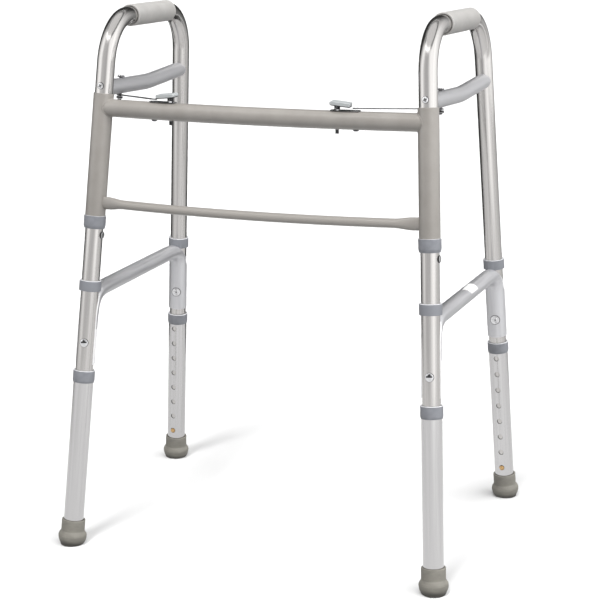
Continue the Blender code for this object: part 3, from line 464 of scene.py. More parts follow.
# A tube along a route, bored through past both ends and trimmed by a cutter
tubeTree = buildTree("bentTube", {
    "Route": "Object", "Trim": "Object", "Radius": "Float", "Wall": "Float", "Overrun": "Float",
    "Sides": "Int", "Finish": "Material",
}, {
    "outline circle": {}, "skin sweep": {"Fill Caps": True}, "along tangent": {}, "minus multiply": {1: -1},
    "back scale": {}, "ahead scale": {}, "first endPoint": {"Start Size": 1, "End Size": 0},
    "last endPoint": {"Start Size": 0, "End Size": 1}, "firstMoved move": {}, "lastMoved move": {},
    "bore subtract": {}, "boreOutline circle": {}, "core sweep": {"Fill Caps": True}, "cut difference": {},
}, [
    "given.Radius > outline.Radius", "given.Sides > outline.Resolution", "Route.Geometry > skin.Curve",
    "outline.Curve > skin.Profile Curve", "given.Overrun > minus.0", "along.Tangent > back.Vector",
    "minus.0 > back.Scale", "Route.Geometry > firstMoved.Geometry", "first.Selection > firstMoved.Selection",
    "back.Vector > firstMoved.Offset", "along.Tangent > ahead.Vector", "given.Overrun > ahead.Scale",
    "firstMoved.Geometry > lastMoved.Geometry", "last.Selection > lastMoved.Selection",
    "ahead.Vector > lastMoved.Offset", "given.Radius > bore.0", "given.Wall > bore.1",
    "bore.0 > boreOutline.Radius", "given.Sides > boreOutline.Resolution", "lastMoved.Geometry > core.Curve",
    "boreOutline.Curve > core.Profile Curve", "skin.Mesh > cut.Mesh 1", "core.Mesh > cut.Mesh 2",
    "Trim.Geometry > cut.Mesh 2", "cut.Mesh > real.Geometry",
])

# A straight tube with a row of punched holes
holeTree = buildTree("holeRow", {
    "Punch": "Object", "Length": "Float", "Radius": "Float", "Bore": "Float", "Holes": "Int",
    "Pitch": "Float", "First Hole": "Float", "Facing": "Float", "Sides": "Int", "Finish": "Material",
}, {
    "half multiply": {1: 0.5}, "longer multiply": {1: 1.2}, "lift combine": {},
    "skin cylinder": {"Side Segments": 1}, "core cylinder": {"Side Segments": 1}, "skinMoved transform": {},
    "coreMoved transform": {}, "places row": {}, "start combine": {}, "step combine": {}, "turn combine": {},
    "quarter multiply": {1: -math.pi / 2}, "spread instances": {}, "punches realize": {},
    "cut difference": {},
}, [
    "given.Length > half.0", "given.Length > longer.0", "half.0 > lift.Z", "given.Sides > skin.Vertices",
    "given.Radius > skin.Radius", "given.Length > skin.Depth", "skin.Mesh > skinMoved.Geometry",
    "lift.Vector > skinMoved.Translation", "given.Sides > core.Vertices", "given.Bore > core.Radius",
    "longer.0 > core.Depth", "core.Mesh > coreMoved.Geometry", "lift.Vector > coreMoved.Translation",
    "given.Holes > places.Count", "given.First Hole > start.Z", "given.Pitch > step.Z",
    "start.Vector > places.Start Location", "step.Vector > places.Offset", "given.Facing > quarter.0",
    "quarter.0 > turn.X", "places.Mesh > spread.Points", "Punch.Geometry > spread.Instance",
    "turn.Vector > spread.Rotation", "spread.Instances > punches.Geometry", "skinMoved.Geometry > cut.Mesh 1",
    "coreMoved.Geometry > cut.Mesh 2", "punches.Geometry > cut.Mesh 2", "cut.Mesh > real.Geometry",
])

# A weld bead with ripples along a closed line
beadTree = buildTree("weldBead", {
    "Line": "Object", "Radius": "Float", "Ripple": "Float", "Ripple Step": "Float", "Finish": "Material",
}, {
    "along spline": {}, "keep store": {"Name": "beadRun"}, "outline circle": {"Resolution": 10},
    "skin sweep": {}, "run number": {"Name": "beadRun"}, "steps divide": {},
    "turn multiply": {1: 2 * math.pi}, "wave sine": {}, "height multiply": {}, "outward normal": {},
    "push scale": {}, "rippled move": {},
}, [
    "Line.Geometry > keep.Geometry", "along.Length > keep.Value", "given.Radius > outline.Radius",
    "keep.Geometry > skin.Curve", "outline.Curve > skin.Profile Curve", "run.Attribute > steps.0",
    "given.Ripple Step > steps.1", "steps.0 > turn.0", "turn.0 > wave.0", "wave.0 > height.0",
    "given.Ripple > height.1", "outward.Normal > push.Vector", "height.0 > push.Scale",
    "skin.Mesh > rippled.Geometry", "push.Vector > rippled.Offset", "rippled.Geometry > real.Geometry",
])

# Fastener heads set on points, each turned to its own axis
headTree = buildTree("fastenerHeads", {"Head": "Object", "Finish": "Material"}, {
    "axis direction": {"Name": "headAxis"}, "turn align": {}, "spread instances": {},
}, [
    "axis.Attribute > turn.Vector", "given.Geometry > spread.Points", "Head.Geometry > spread.Instance",
    "turn.Rotation > spread.Rotation", "spread.Instances > real.Geometry",
])

# A round wire along a route
coilTree = buildTree("coiledWire", {"Route": "Object", "Radius": "Float", "Finish": "Material"}, {
    "outline circle": {"Resolution": 10}, "skin sweep": {"Fill Caps": True},
}, [
    "given.Radius > outline.Radius", "Route.Geometry > skin.Curve", "outline.Curve > skin.Profile Curve",
    "skin.Mesh > real.Geometry",
])
print("node trees built")


def runTree(name, tree, values, base=None):
    piece = newObject(name, base or bpy.data.meshes.new(name))
    modifier = piece.modifiers.new(tree.name, "NODES")
    modifier.node_group = tree
    for item in tree.interface.items_tree:
        if item.in_out == "INPUT" and item.name in values:
            value = values[item.name]
            modifier[item.identifier] = finishes[value] if item.name == "Finish" else value
    bakeModifiers(piece)
    return piece


def guideCurve(name, points, cyclic=False):
    curve = bpy.data.curves.new(name, "CURVE")
    curve.dimensions = "3D"
    spline = curve.splines.new("POLY")
    spline.points.add(len(points) - 1)
    for point, place in zip(spline.points, points):
        point.co = (*place, 1)
    spline.use_cyclic_u = cyclic
    return placeObject(name, curve)


def sweptTube(name, route, radius, wall, finish, trim, across):
    guide = guideCurve(name + "Guide", route)
    piece = runTree(name, tubeTree, {
        "Route": guide, "Trim": trim, "Radius": radius, "Wall": wall, "Overrun": tubeSizes["boreOverrun"],
        "Sides": tubeSizes["sides"], "Finish": finish,
    })
    dropObjects(guide, trim)
    storeGrain(piece.data, route, across)
    smoothShade(piece.data, 30)
    return piece


def legCutter(name, side, leg, radius, low, high):
    return rodMesh(name, radius, 0, legLength(leg, low, high), legMatrix(side, leg, low), tubeSizes["sides"])


def weldLoops(piece, isOnJoint):  # closed lines of edges whose ends all lie on a joint
    shape = bmesh.new()
    shape.from_mesh(piece.data)
    marked = {v.index for v in shape.verts if isOnJoint(v.co)}
    shape.verts.ensure_lookup_table()
    neighbours = {}
    for edge in shape.edges:
        a, b = edge.verts[0].index, edge.verts[1].index
        isSharp = not edge.smooth or edge.calc_face_angle(0) > weldSettings["sharp"]
        if a in marked and b in marked and isSharp:
            neighbours.setdefault(a, []).append(b)
            neighbours.setdefault(b, []).append(a)
    loops, used = [], set()
    for start in neighbours:
        if start in used:
            continue
        loop, here = [start], start
        used.add(start)
        while True:
            ahead = [n for n in neighbours[here] if n not in used]
            if not ahead:
                break
            here = ahead[0]
            used.add(here)
            loop.append(here)
        loops.append([shape.verts[i].co.copy() for i in loop])
    shape.free()
    return [loop for loop in loops if len(loop) > weldSettings["fewest"]]


def evenLoop(points, count, smoothing=2):
    points = np.array(points + [points[0]])
    gaps = np.linalg.norm(np.diff(points, axis=0), axis=1)
    run = np.concatenate([[0], np.cumsum(gaps)])
    even = np.linspace(0, run[-1], count, endpoint=False)
    made = np.stack([np.interp(even, run, points[:, k]) for k in range(3)], axis=1)
    for _ in range(smoothing):
        made = (np.roll(made, 1, 0) + 2 * made + np.roll(made, -1, 0)) / 4
    return [Vector(point) for point in made]


weldSettings = {"radius": 0.0010, "ripple": 0.00010, "rippleStep": 0.0024, "points": 120, "reach": 0.00006,
                "sink": 0.0004, "fewest": 12, "sharp": 0.5}


def nearRoute(point, route):
    best = 1e9
    for start, end in zip(route, route[1:]):
        step = end - start
        share = min(max((point - start).dot(step) / step.length_squared, 0), 1)
        best = min(best, (point - start - step * share).length)
    return best


def legDistance(point, side, leg):
    start = legPoint(side, leg, 0)
    along = (legPoint(side, leg, 1) - start).normalized()
    offset = point - start
    return (offset - along * offset.dot(along)).length


def buildCrossbarWeld(word, side, bar, route, sleeveRadius):  # a bead where the bar meets the sleeve
    s = weldSettings

    def isOnJoint(point):
        onSleeve = abs(legDistance(point, side, "front") - sleeveRadius) < s["reach"]
        return onSleeve and nearRoute(point, route) > frontSettings["barRadius"] - s["sink"]

    loop = weldLoops(bar, isOnJoint)[0]
    name = f"crossbarWeld_{word}"
    guide = guideCurve(name + "Line", evenLoop(loop, s["points"]), True)
    weld = runTree(name, beadTree, {"Line": guide, "Radius": s["radius"], "Ripple": s["ripple"],
                                    "Ripple Step": s["rippleStep"], "Finish": "taupePaint"})
    dropObjects(guide)
    storeGrain(weld.data, [Vector((0, 0, 0)), upward], acrossWalker)
    smoothShade(weld.data, 60)
    setOnFrame(weld, "front_frame", "taupe")


# Front frame

frontSettings = {
    "sleeveTop": 0.6500, "sleeveFoot": 0.4632,
    "barHeight": 0.6303, "barRadius": 0.0124, "barBore": 0.0112, "barBow": 0.0160,
    "lowBarHeight": 0.4976, "lowBarRadius": 0.00635, "lowBarBow": 0.0228,
    "lowBarEndTall": 0.0180, "lowBarEndThick": 0.0078, "lowBarEndLength": 0.046, "lowBarEndBlend": 0.024,
    "lowBarBore": 0.0012, "lowBarSides": 40, "lowBarSteps": 96, "trimReach": 0.04,
    "collarLow": 0.4607, "collarHigh": 0.4791,
}


def bowedRoute(height, bow, steps=48):
    start, end = legPoint(-1, "front", height), legPoint(1, "front", height)
    route = []
    for i in range(steps + 1):
        share = i / steps
        point = start.lerp(end, share)
        point.y -= bow * 4 * share * (1 - share)
        route.append(point)
    return route


def buildHingeSleeve(word, side):
    s = frontSettings
    matrix = legMatrix(side, "front", s["sleeveFoot"])
    outer, inner = tubeSizes["sleeveRadius"], tubeSizes["sleeveBore"]
    length = legLength("front", s["sleeveFoot"], s["sleeveTop"])
    profile = softened([(inner, length), (outer, length), (outer, 0), (inner, 0)], 0.0004, 3, closed=True)
    sleeve = turnedPiece(f"hingeSleeve_{word}", profile, matrix, "taupePaint", closed=True)
    setOnFrame(sleeve, "front_frame", "taupe", f"front_sleeve_{word}")


def buildHingeCollar(word, side):
    s = frontSettings
    height = legLength("front", s["collarLow"], s["collarHigh"])
    lip = legLength("front", s["collarLow"], s["sleeveFoot"]) - 0.0003
    outer = tubeSizes["collarRadius"]
    sleeve, leg = tubeSizes["sleeveRadius"] + snugGap, tubeSizes["legRadius"] + looseGap
    profile = softened([
        (sleeve, height), (outer, height), (outer - 0.0001, 0.0042), (outer - 0.0012, 0.0), (leg, 0.0),
        (leg, lip), (sleeve, lip),
    ], 0.0005, 5, closed=True)
    matrix = legMatrix(side, "front", s["collarLow"])
    collar = turnedPiece(f"hingeCollar_{word}", profile, matrix, "slatePlastic", closed=True)
    paintRim(collar.data, matrix, height)
    setOnFrame(collar, "front_frame", "collar", f"hinge_collar_{word}")


rimSettings = {"facing": 0.35, "depth": 0.0016}


def paintRim(mesh, matrix, height):  # a collar's upper rim is pale where the light catches it
    local, up = matrix.inverted(), matrix.col[2].xyz
    low = height - rimSettings["depth"]
    shadeFaces(mesh, "paleRim", lambda face: face.normal.dot(up) > rimSettings["facing"] and (
        local @ face.center).z > low)


def darkWalls(mesh, axis):  # the shaded sides of a small steel piece
    shadeFaces(mesh, "darkSteel", lambda face: abs(face.normal.dot(axis)) < 0.5)


def sleeveTrims(radius, height):  # cutters that shape a bar's ends to the hinge sleeves
    low, high = height - frontSettings["trimReach"], height + frontSettings["trimReach"]
    return helperObject("sleeveTrims", *[
        legCutter("sleeveTrim", side, "front", radius, low, high) for side in sideSigns.values()])


def buildCrossbar():
    s = frontSettings
    route = bowedRoute(s["barHeight"], s["barBow"])
    cut = tubeSizes["sleeveRadius"] - 0.0001
    trim = sleeveTrims(cut, s["barHeight"])
    wall = s["barRadius"] - s["barBore"]
    bar = sweptTube("crossbar", route, s["barRadius"], wall, "taupePaint", trim, upward)
    for word, side in sideSigns.items():
        buildCrossbarWeld(word, side, bar, route, cut)
    setOnFrame(bar, "front_frame", "taupe", "crossbar")


def buildLowerCrossbar():
    s = frontSettings
    route = bowedRoute(s["lowBarHeight"], s["lowBarBow"], s["lowBarSteps"])
    guide = guideCurve("lowBarGuide", route)
    bar = runTree("lowerCrossbar", tubeTree, {
        "Route": guide, "Radius": s["lowBarRadius"], "Wall": s["lowBarRadius"] - s["lowBarBore"],
        "Overrun": 0.0, "Sides": s["lowBarSides"], "Finish": "taupePaint",
    })
    dropObjects(guide)
    pressBarEnds(bar.data, route)
    storeGrain(bar.data, route, upward)
    cutAway(bar, sleeveTrims(tubeSizes["sleeveRadius"] - snugGap, s["lowBarHeight"]))
    smoothShade(bar.data, 34)
    setOnFrame(bar, "front_frame", "taupe", "lower_crossbar")


def pressBarEnds(mesh, route):  # the ends are pressed flat and tall where they meet the sleeves
    s = frontSettings
    span = abs(route[0].x)
    for vertex in mesh.vertices:
        share = (abs(vertex.co.x) - span + s["lowBarEndLength"]) / s["lowBarEndBlend"]
        share = min(max(share, 0), 1)
        share = share * share * (3 - 2 * share)
        across = (vertex.co.x + span) / (2 * span)
        middle = route[0].y - s["lowBarBow"] * 4 * across * (1 - across)
        tall = 1 + share * (s["lowBarEndTall"] / 2 / s["lowBarRadius"] - 1)
        thin = 1 + share * (s["lowBarEndThick"] / 2 / s["lowBarRadius"] - 1)
        vertex.co.z = s["lowBarHeight"] + (vertex.co.z - s["lowBarHeight"]) * tall
        vertex.co.y = middle + (vertex.co.y - middle) * thin


for word, side in sideSigns.items():
    buildHingeSleeve(word, side)
    buildHingeCollar(word, side)
buildCrossbar()
buildLowerCrossbar()
print("front frame built")


# Side frames

sideSettings = {
    "archFront": 0.7536, "archRear": 0.7430, "bendFront": 0.066, "bendRear": 0.0677, "footHeight": 0.030,
    "gripStart": 0.0707, "gripLength": 0.135, "gripRadius": 0.0156,
    "braceRadius": 0.0111, "braceBore": 0.0099,
    "upperFront": 0.6568, "upperDip": 0.6472, "upperRear": 0.6502, "dipShare": 0.54, "upperBend": 0.30,
    "trimLow": 0.60, "trimHigh": 0.70, "notchGap": 0.0008,
}


def archRoute(side):
    s = sideSettings
    corners = [legPoint(side, "front", s["footHeight"]), legPoint(side, "front", s["archFront"]),
               legPoint(side, "rear", s["archRear"]), legPoint(side, "rear", s["footHeight"])]
    return corners, roundedRoute(corners, (s["bendFront"], s["bendRear"]))


def sidePlaneNormal(side):
    front, rear = legPoint(side, "front", 0), legPoint(side, "rear", 0)
    return (legPoint(side, "front", 1) - front).cross(rear - front).normalized()


def buildSideTube(word, side):
    route = archRoute(side)[1]
    places = [facing(legMatrix(side, leg, footSettings["lowestHole"]), footSettings["holeFacing"][leg])
              for leg in legLines]
    radius = footSettings["buttonRadius"] + looseGap
    holes = [rodMesh("buttonHole", radius, 0.004, 0.02, place) for place in places]
    trim = helperObject("buttonHoles", *holes)
    wall = tubeSizes["legWall"]
    tube = sweptTube(f"sideTube_{word}", route, tubeSizes["legRadius"], wall, "drawnAluminium", trim,
                     sidePlaneNormal(side))
    setOnFrame(tube, f"side_{word}", "aluminium", f"side_tube_{word}")


def buildGrip(word, side):
    s = sideSettings
    corners = archRoute(side)[0]
    along = (corners[2] - corners[1]).normalized()
    bore, outer, length = tubeSizes["legRadius"] + snugGap, s["gripRadius"], s["gripLength"]
    ring, groove = 0.0030, 0.00035
    body = [(bore, length), (outer, length), (outer, length - ring), (outer - groove, length - ring - 0.0005),
            (outer - groove * 0.3, length - ring - 0.0012), (outer, length * 0.5),
            (outer - groove * 0.3, ring + 0.0012), (outer - groove, ring + 0.0005), (outer, ring), (outer, 0),
            (bore, 0)]
    matrix = standMatrix(corners[1] + along * s["gripStart"], acrossWalker, along)
    grip = turnedPiece(f"handGrip_{word}", softened(body, 0.0012, 5, closed=True), matrix, "gripVinyl",
                       closed=True)
    setOnFrame(grip, f"side_{word}", "grip", f"hand_grip_{word}")


def upperBraceRoute(side):
    s = sideSettings
    dip = legPoint(side, "front", s["upperDip"]).lerp(legPoint(side, "rear", s["upperDip"]), s["dipShare"])
    corners = [legPoint(side, "front", s["upperFront"]), dip, legPoint(side, "rear", s["upperRear"])]
    return roundedRoute(corners, (s["upperBend"],), 24)


def buildUpperBrace(word, side):
    s = sideSettings
    route = upperBraceRoute(side)
    radius = tubeSizes["legRadius"] - 0.0001
    notchRadius = tubeSizes["sleeveRadius"] + s["notchGap"]
    trims = [legCutter(f"braceTrim{leg}", side, leg, radius, s["trimLow"], s["trimHigh"]) for leg in legLines]
    ends = helperObject("upperTrim", *trims)
    wall = s["braceRadius"] - s["braceBore"]
    brace = sweptTube(f"upperBrace_{word}", route, s["braceRadius"], wall, "satinMetal", ends,
                      sidePlaneNormal(side))
    notchTop = frontSettings["sleeveTop"] + 0.0006
    notch = helperObject("upperNotch", legCutter("notch", side, "front", notchRadius, s["trimLow"], notchTop))
    middle = braceBoltMatrix(side, headSettings["bolt"]["middle"])
    bolt = helperObject("boltHole", rodMesh("boltRod", headSettings["bolt"]["hole"], -0.02, 0.02, middle))
    cutAway(brace, notch, bolt)
    smoothShade(brace.data, 30)
    setOnFrame(brace, f"side_{word}", "grey", f"upper_brace_{word}")


braceEnds = {  # where the round tube ends, where the saddle proper begins, and how the bend between them runs
    "front": {"height": 0.3668, "start": 0.045, "flat": 0.050, "hug": 0.9, "spread": 1, "foot": 0.2660,
              "collar": {"left": (0.3715, 0.3866), "right": (0.3780, 0.3934)}},
    "rear": {"height": 0.3600, "start": 0.050, "flat": 0.032, "hug": 0.8, "spread": 0, "foot": 0.2613,
             "collar": {"left": (0.3634, 0.3792), "right": (0.3665, 0.3816)}},
}
saddleSettings = {"radius": 0.0143, "back": 0.0015, "bore": 0.0127, "boreBack": 0.0008, "fibres": 64,
                  "steps": 24, "collarGap": 0.0004, "pastFoot": 0.004, "trimLow": 0.24, "trimHigh": 0.42}


def braceFibre(side, leg, angle, radius, saddle, back, past):  # from the saddle's foot to the round tube
    s = braceEnds[leg]
    hub = legMatrix(side, leg, s["height"])
    other = "rear" if leg == "front" else "front"
    along = (hub.inverted() @ legPoint(side, other, braceEnds[other]["height"])).normalized()
    sign = math.copysign(1, along.y)
    up = (upward - along * along.z).normalized()
    across = along.cross(up) * sign
    start = along * s["start"] - up * radius * math.cos(angle) + across * radius * math.sin(angle)
    edge = math.pi / 2 - math.pi / saddleSettings["fibres"]
    under = abs(angle) < math.pi / 2
    turn = (abs(angle) if under else math.pi - abs(angle)) / edge * math.pi / 2
    x = math.copysign(saddle * math.sin(turn), angle)
    y = (saddle * math.cos(turn) if under else -back) * sign
    corner = start - along * (start.y - y) / along.y
    flat = Vector((x, y, -s["flat"]))
    ahead = start.lerp(corner, s["hug"])
    ahead.x = start.x + (x - start.x) * s["spread"]
    behind = flat.lerp(Vector((x, y, corner.z)), s["hug"])
    foot = Vector((x, y, -legLength(leg, s["foot"], s["height"]) - past))
    bend = interpolate_bezier(flat, behind, ahead, start, saddleSettings["steps"])
    return [hub @ point for point in [foot, *bend]]


def braceSkin(name, side, radius, saddle, back, past=0.0):  # a loft of fibres from saddle to saddle
    count = saddleSettings["fibres"]
    lines = []
    for i in range(count):
        angle = (i + 0.5) * 2 * math.pi / count
        angle -= 2 * math.pi if angle > math.pi else 0
        ends = [braceFibre(side, leg, angle, radius, saddle, back, past) for leg in legLines]
        lines.append(ends[0] + ends[1][::-1])
    long = len(lines[0])
    faces = []
    for i in range(count):
        near, ahead = i * long, (i + 1) % count * long
        faces += [(near + j, near + j + 1, ahead + j + 1, ahead + j) for j in range(long - 1)]
    for i in range(-count // 4, count // 4 - 1):  # each foot is a D, closed strip by strip
        strip = [n % count * long for n in (i, i + 1, count // 2 - 2 - i, count // 2 - 1 - i)]
        faces += [strip, [corner + long - 1 for corner in reversed(strip)]]
    mesh = bpy.data.meshes.new(name)
    mesh.from_pydata([point for line in lines for point in line], [], faces)
    shape = bmesh.new()
    shape.from_mesh(mesh)
    bmesh.ops.recalc_face_normals(shape, faces=shape.faces)
    shape.to_mesh(mesh)
    shape.free()
    return mesh


def buildLowerBrace(word, side):  # a tube whose ends open into saddles riveted along the legs
    s, radius = saddleSettings, sideSettings["braceRadius"]
    skin = braceSkin("lowerBrace", side, radius, s["radius"], s["back"])
    brace = newObject(f"lowerBrace_{word}", skin, "satinMetal")
    bore = braceSkin("braceBore", side, sideSettings["braceBore"], s["bore"], s["boreBack"], s["pastFoot"])
    cut = tubeSizes["legRadius"] + 0.0001
    legs = [legCutter(f"legTrim{leg}", side, leg, cut, s["trimLow"], s["trimHigh"]) for leg in legLines]
    rivets = [saddleRivet(word, side, leg, leg == "front") for leg in legLines]
    holes = [rodMesh("rivetHole", rivetSettings["hole"], 0, 0.02, place) for place in rivets]
    mesh = cutAway(brace, helperObject("bore", bore), helperObject("legTrims", *legs),
                   helperObject("holes", *holes))
    route = [legPoint(side, leg, braceEnds[leg][key]) for leg, key in (
        ("front", "foot"), ("front", "height"), ("rear", "height"), ("rear", "foot"))]
    storeGrain(mesh, route, sidePlaneNormal(side))
    smoothShade(mesh, 32)
    # a painted highlight on the saddle and bend edges beside each leg
    for leg in legLines:
        local, s = legMatrix(side, leg, braceEnds[leg]["height"]).inverted(), braceEnds[leg]
        shadeFaces(mesh, "paleEdge", lambda face: besideLeg(local @ face.center, s))
    setOnFrame(brace, f"side_{word}", "grey", f"lower_brace_{word}")


def besideLeg(spot, s):  # painted highlight beside the leg: the front saddle, and the edge of each bend
    reach = math.hypot(spot.x, spot.y)
    if reach > saddleSettings["radius"] + 0.0002:
        return False
    if s["spread"] and spot.z < -s["flat"]:
        return True
    return abs(spot.z) < s["flat"] and reach < saddleSettings["radius"] - 0.0001


def buildBraceCollar(word, side, leg):  # a ring round the leg, notched where the brace runs in under it
    low, high = braceEnds[leg]["collar"][word]
    height, matrix = legLength(leg, low, high), legMatrix(side, leg, low)
    outer, inner = tubeSizes["collarRadius"], tubeSizes["legRadius"] + snugGap
    profile = softened([(inner, height - 0.0008), (outer - 0.0014, height), (outer, height - 0.0006),
                        (outer, 0.0), (inner, 0.0)], 0.0006, 5, closed=True)
    collar = turnedPiece(f"{leg}BraceCollar_{word}", profile, matrix, "slatePlastic", closed=True)
    gap = saddleSettings["collarGap"]
    notch = braceSkin("notch", side, sideSettings["braceRadius"] + gap, saddleSettings["radius"] + gap,
                      saddleSettings["back"] + gap)
    mesh = cutAway(collar, helperObject("collarNotch", notch))
    paintRim(mesh, matrix, height)
    smoothShade(mesh, 32)
    setOnFrame(collar, f"side_{word}", "collar", f"{leg}_brace_collar_{word}")


def braceBoltMatrix(side, height):  # the bolt stands parallel to the front leg
    route = upperBraceRoute(side)
    crossing = route[0] + (route[1] - route[0]).normalized() * latchSettings["boltOffset"]
    up = legPoint(side, "front", 1) - legPoint(side, "front", 0)
    return standMatrix(crossing + up * (height - crossing.z), acrossWalker, up)


labelSettings = {  # the label's corners as distance along the brace from the front leg, and angle round it
    "side": 1, "low": ((0.1662, 20.6), (0.1994, 20.4)), "high": ((0.1562, 94.1), (0.1965, 109.2)),
    "thickness": 0.00015, "rows": 10, "columns": 24,
}


def buildLabel():  # a blank paper label wrapped on the right lower brace
    s = labelSettings
    front = legPoint(s["side"], "front", braceEnds["front"]["height"])
    rear = legPoint(s["side"], "rear", braceEnds["rear"]["height"])
    along = (rear - front).normalized()
    frameAt = standMatrix(front, acrossWalker, along)
    radius = sideSettings["braceRadius"] + 0.00005
    columns, rows = s["columns"], s["rows"]
    low, high = [np.array(s[key]) for key in ("low", "high")]
    shape = bmesh.new()
    under, over = [], []
    for grid, lift in ((under, 0.0), (over, s["thickness"])):
        for i in range(rows + 1):
            start = low[0] + (low[1] - low[0]) * i / rows
            end = high[0] + (high[1] - high[0]) * i / rows
            line = []
            for k in range(columns + 1):
                run, degrees = start + (end - start) * k / columns
                a = math.radians(degrees)
                out = frameAt.col[0].xyz * math.cos(a) - frameAt.col[1].xyz * math.sin(a)
                line.append(shape.verts.new(front + along * run + out * (radius + lift)))
            grid.append(line)
    for i in range(rows):
        for k in range(columns):
            for grid, order in ((under, 1), (over, -1)):
                corners = (grid[i][k], grid[i][k + 1], grid[i + 1][k + 1], grid[i + 1][k])
                shape.faces.new(corners[::order])
    rim = [(0, k) for k in range(columns)] + [(i, columns) for i in range(rows)]
    rim += [(rows, k) for k in range(columns, 0, -1)] + [(i, 0) for i in range(rows, 0, -1)]
    for (i, k), (j, n) in zip(rim, rim[1:] + rim[:1]):
        shape.faces.new((under[i][k], under[j][n], over[j][n], over[i][k]))
    mesh = finishedMesh("braceLabel", shape)
    storeGrain(mesh, [front, rear], acrossWalker)
    smoothShade(mesh)
    setOnFrame(newObject("braceLabel", mesh, "labelPaper"), "side_right", "grey")


# Fasteners on the side frames

def setHeads(name, head, matrix, body, *nodes):  # a fastener head set on a point that carries its axis
    origin, axis = matrix.translation, matrix.col[2].xyz
    base = bpy.data.meshes.new(name)
    base.from_pydata([tuple(origin)], [], [])
    base.attributes.new("headAxis", "FLOAT_VECTOR", "POINT").data[0].vector = axis
    piece = runTree(name, headTree, {"Head": head, "Finish": "zincSteel"}, base)
    storeGrain(piece.data, [origin, origin + axis], matrix.col[0].xyz)
    smoothShade(piece.data, 32)
    setOnFrame(piece, body, "steel", *nodes)
    return piece.data


mirrorSettings = {"skirt": -0.0007, "neck": 0.35, "neckHalf": 0.72, "top": 0.85, "slope": 0.8}


def shadeHead(mesh, matrix, bands, wedge=0.0):  # painted shade in dark rings on a head, and a painted reflection of the dark room in a dome
    s, local = mirrorSettings, matrix.inverted()
    up = (local.to_3x3() @ upward).xy.normalized()

    def isDark(face):
        spot = local @ face.center
        if spot.z < s["skirt"]:
            return False
        if any(low <= spot.xy.length <= high for low, high in bands):
            return True
        if not wedge:
            return False
        rise, aside = spot.xy.dot(up) / wedge, abs(spot.x * up.y - spot.y * up.x) / wedge
        if 0 < rise < s["neck"]:
            return aside < s["neckHalf"]
        return s["neck"] <= rise < s["top"] and aside < s["slope"] * (s["top"] - rise)

    shadeFaces(mesh, "darkSteel", isDark)


headSettings = {
    "stopPin": {"height": 0.4520, "radius": 0.0052, "rise": 0.0015},
    "screw": {"radius": 0.0048, "height": 0.0025, "shank": 0.0021, "reach": 0.0354, "place": 0.6610,
              "turn": 20, "crossReach": 0.0046, "crossWidth": 0.0011, "crossDepth": 0.0014},
    "bolt": {"radius": 0.0052, "height": 0.0026, "middle": 0.6535, "top": 0.0124, "hole": 0.0029},
    "nut": {"radius": 0.0050, "height": 0.0038},
}
rivetSettings = {
    "front": {"left": (0.2975, -78), "right": (0.2960, -86), "radius": 0.0062},
    "rear": {"left": (0.2905, -78), "right": (0.2890, -85), "radius": 0.0075},
    "tail": 0.0036, "hole": 0.0025,
}


def saddleRivet(word, side, leg, turned=False):  # on the leg's axis, Z towards the rivet's head
    height, degrees = rivetSettings[leg][word]
    return facing(legMatrix(side, leg, height), degrees + (180 if turned else 0))


def domeProfile(radius, height, rimHeight, foot=-0.0006, steps=10):
    profile = [(0, height)]
    for k in range(1, steps + 1):
        a = math.pi / 2 * k / steps
        profile.append((radius * math.sin(a), rimHeight + (height - rimHeight) * math.cos(a)))
    return profile + [(radius, foot), (0, foot)]


def buildHeads():
    pin = headSettings["stopPin"]
    wide = rivetSettings["rear"]["radius"]  # a low flange round a small raised ring
    heads = {
        "stopPin": softened([(0, pin["rise"]), (pin["radius"] - 0.0006, pin["rise"]), (pin["radius"], 0.0006),
                             (pin["radius"], -0.0006), (0, -0.0006)], 0.0005, 4),
        "front": domeProfile(rivetSettings["front"]["radius"], 0.0022, 0.0003, -0.0012, 12),
        "rear": softened([(0, 0.0010), (0.0008, 0.0010), (0.0011, 0.0004), (0.0016, 0.0004), (0.0020, 0.0012),
                          (0.0030, 0.0012), (0.0035, 0.0006), (wide - 0.0008, 0.0005), (wide, 0.0001),
                          (wide, -0.0012), (0, -0.0012)], 0.0004, 4),
        "tail": domeProfile(rivetSettings["tail"], 0.0012, 0.0003),
    }
    return {key: helperObject(key + "Head", latheMesh("head", profile, Matrix.Identity(4), sides=48))
            for key, profile in heads.items()}


def buildFasteners(word, side, heads):
    body, leg, saddle = f"side_{word}", tubeSizes["legRadius"], saddleSettings["radius"]
    spot = headSettings["stopPin"]
    pin = facing(legMatrix(side, "front", spot["height"]), 0) @ Matrix.Translation((0, 0, leg))
    mesh = setHeads(f"stopPin_{word}", heads["stopPin"], pin, body, f"stop_pin_{word}")
    shadeHead(mesh, pin, [(spot["radius"] - 0.0005, 1)])
    for end, over, under, bands in (("front", leg, saddle, [(0.0058, 1)]),
                                    ("rear", saddle, leg, [(0, 0.0010), (0.0036, 0.0044), (0.0070, 1)])):
        head = saddleRivet(word, side, end) @ Matrix.Translation((0, 0, over))
        tail = saddleRivet(word, side, end, True) @ Matrix.Translation((0, 0, under))
        mesh = setHeads(f"{end}BraceRivet_{word}", heads[end], head, body, f"{end}_brace_rivet_{word}")
        shadeHead(mesh, head, bands, rivetSettings["front"]["radius"] if end == "front" else 0.0)
        setHeads(f"{end}RivetTail_{word}", heads["tail"], tail, body)
    buildBraceScrew(word, side)
    buildBraceBolt(word, side)


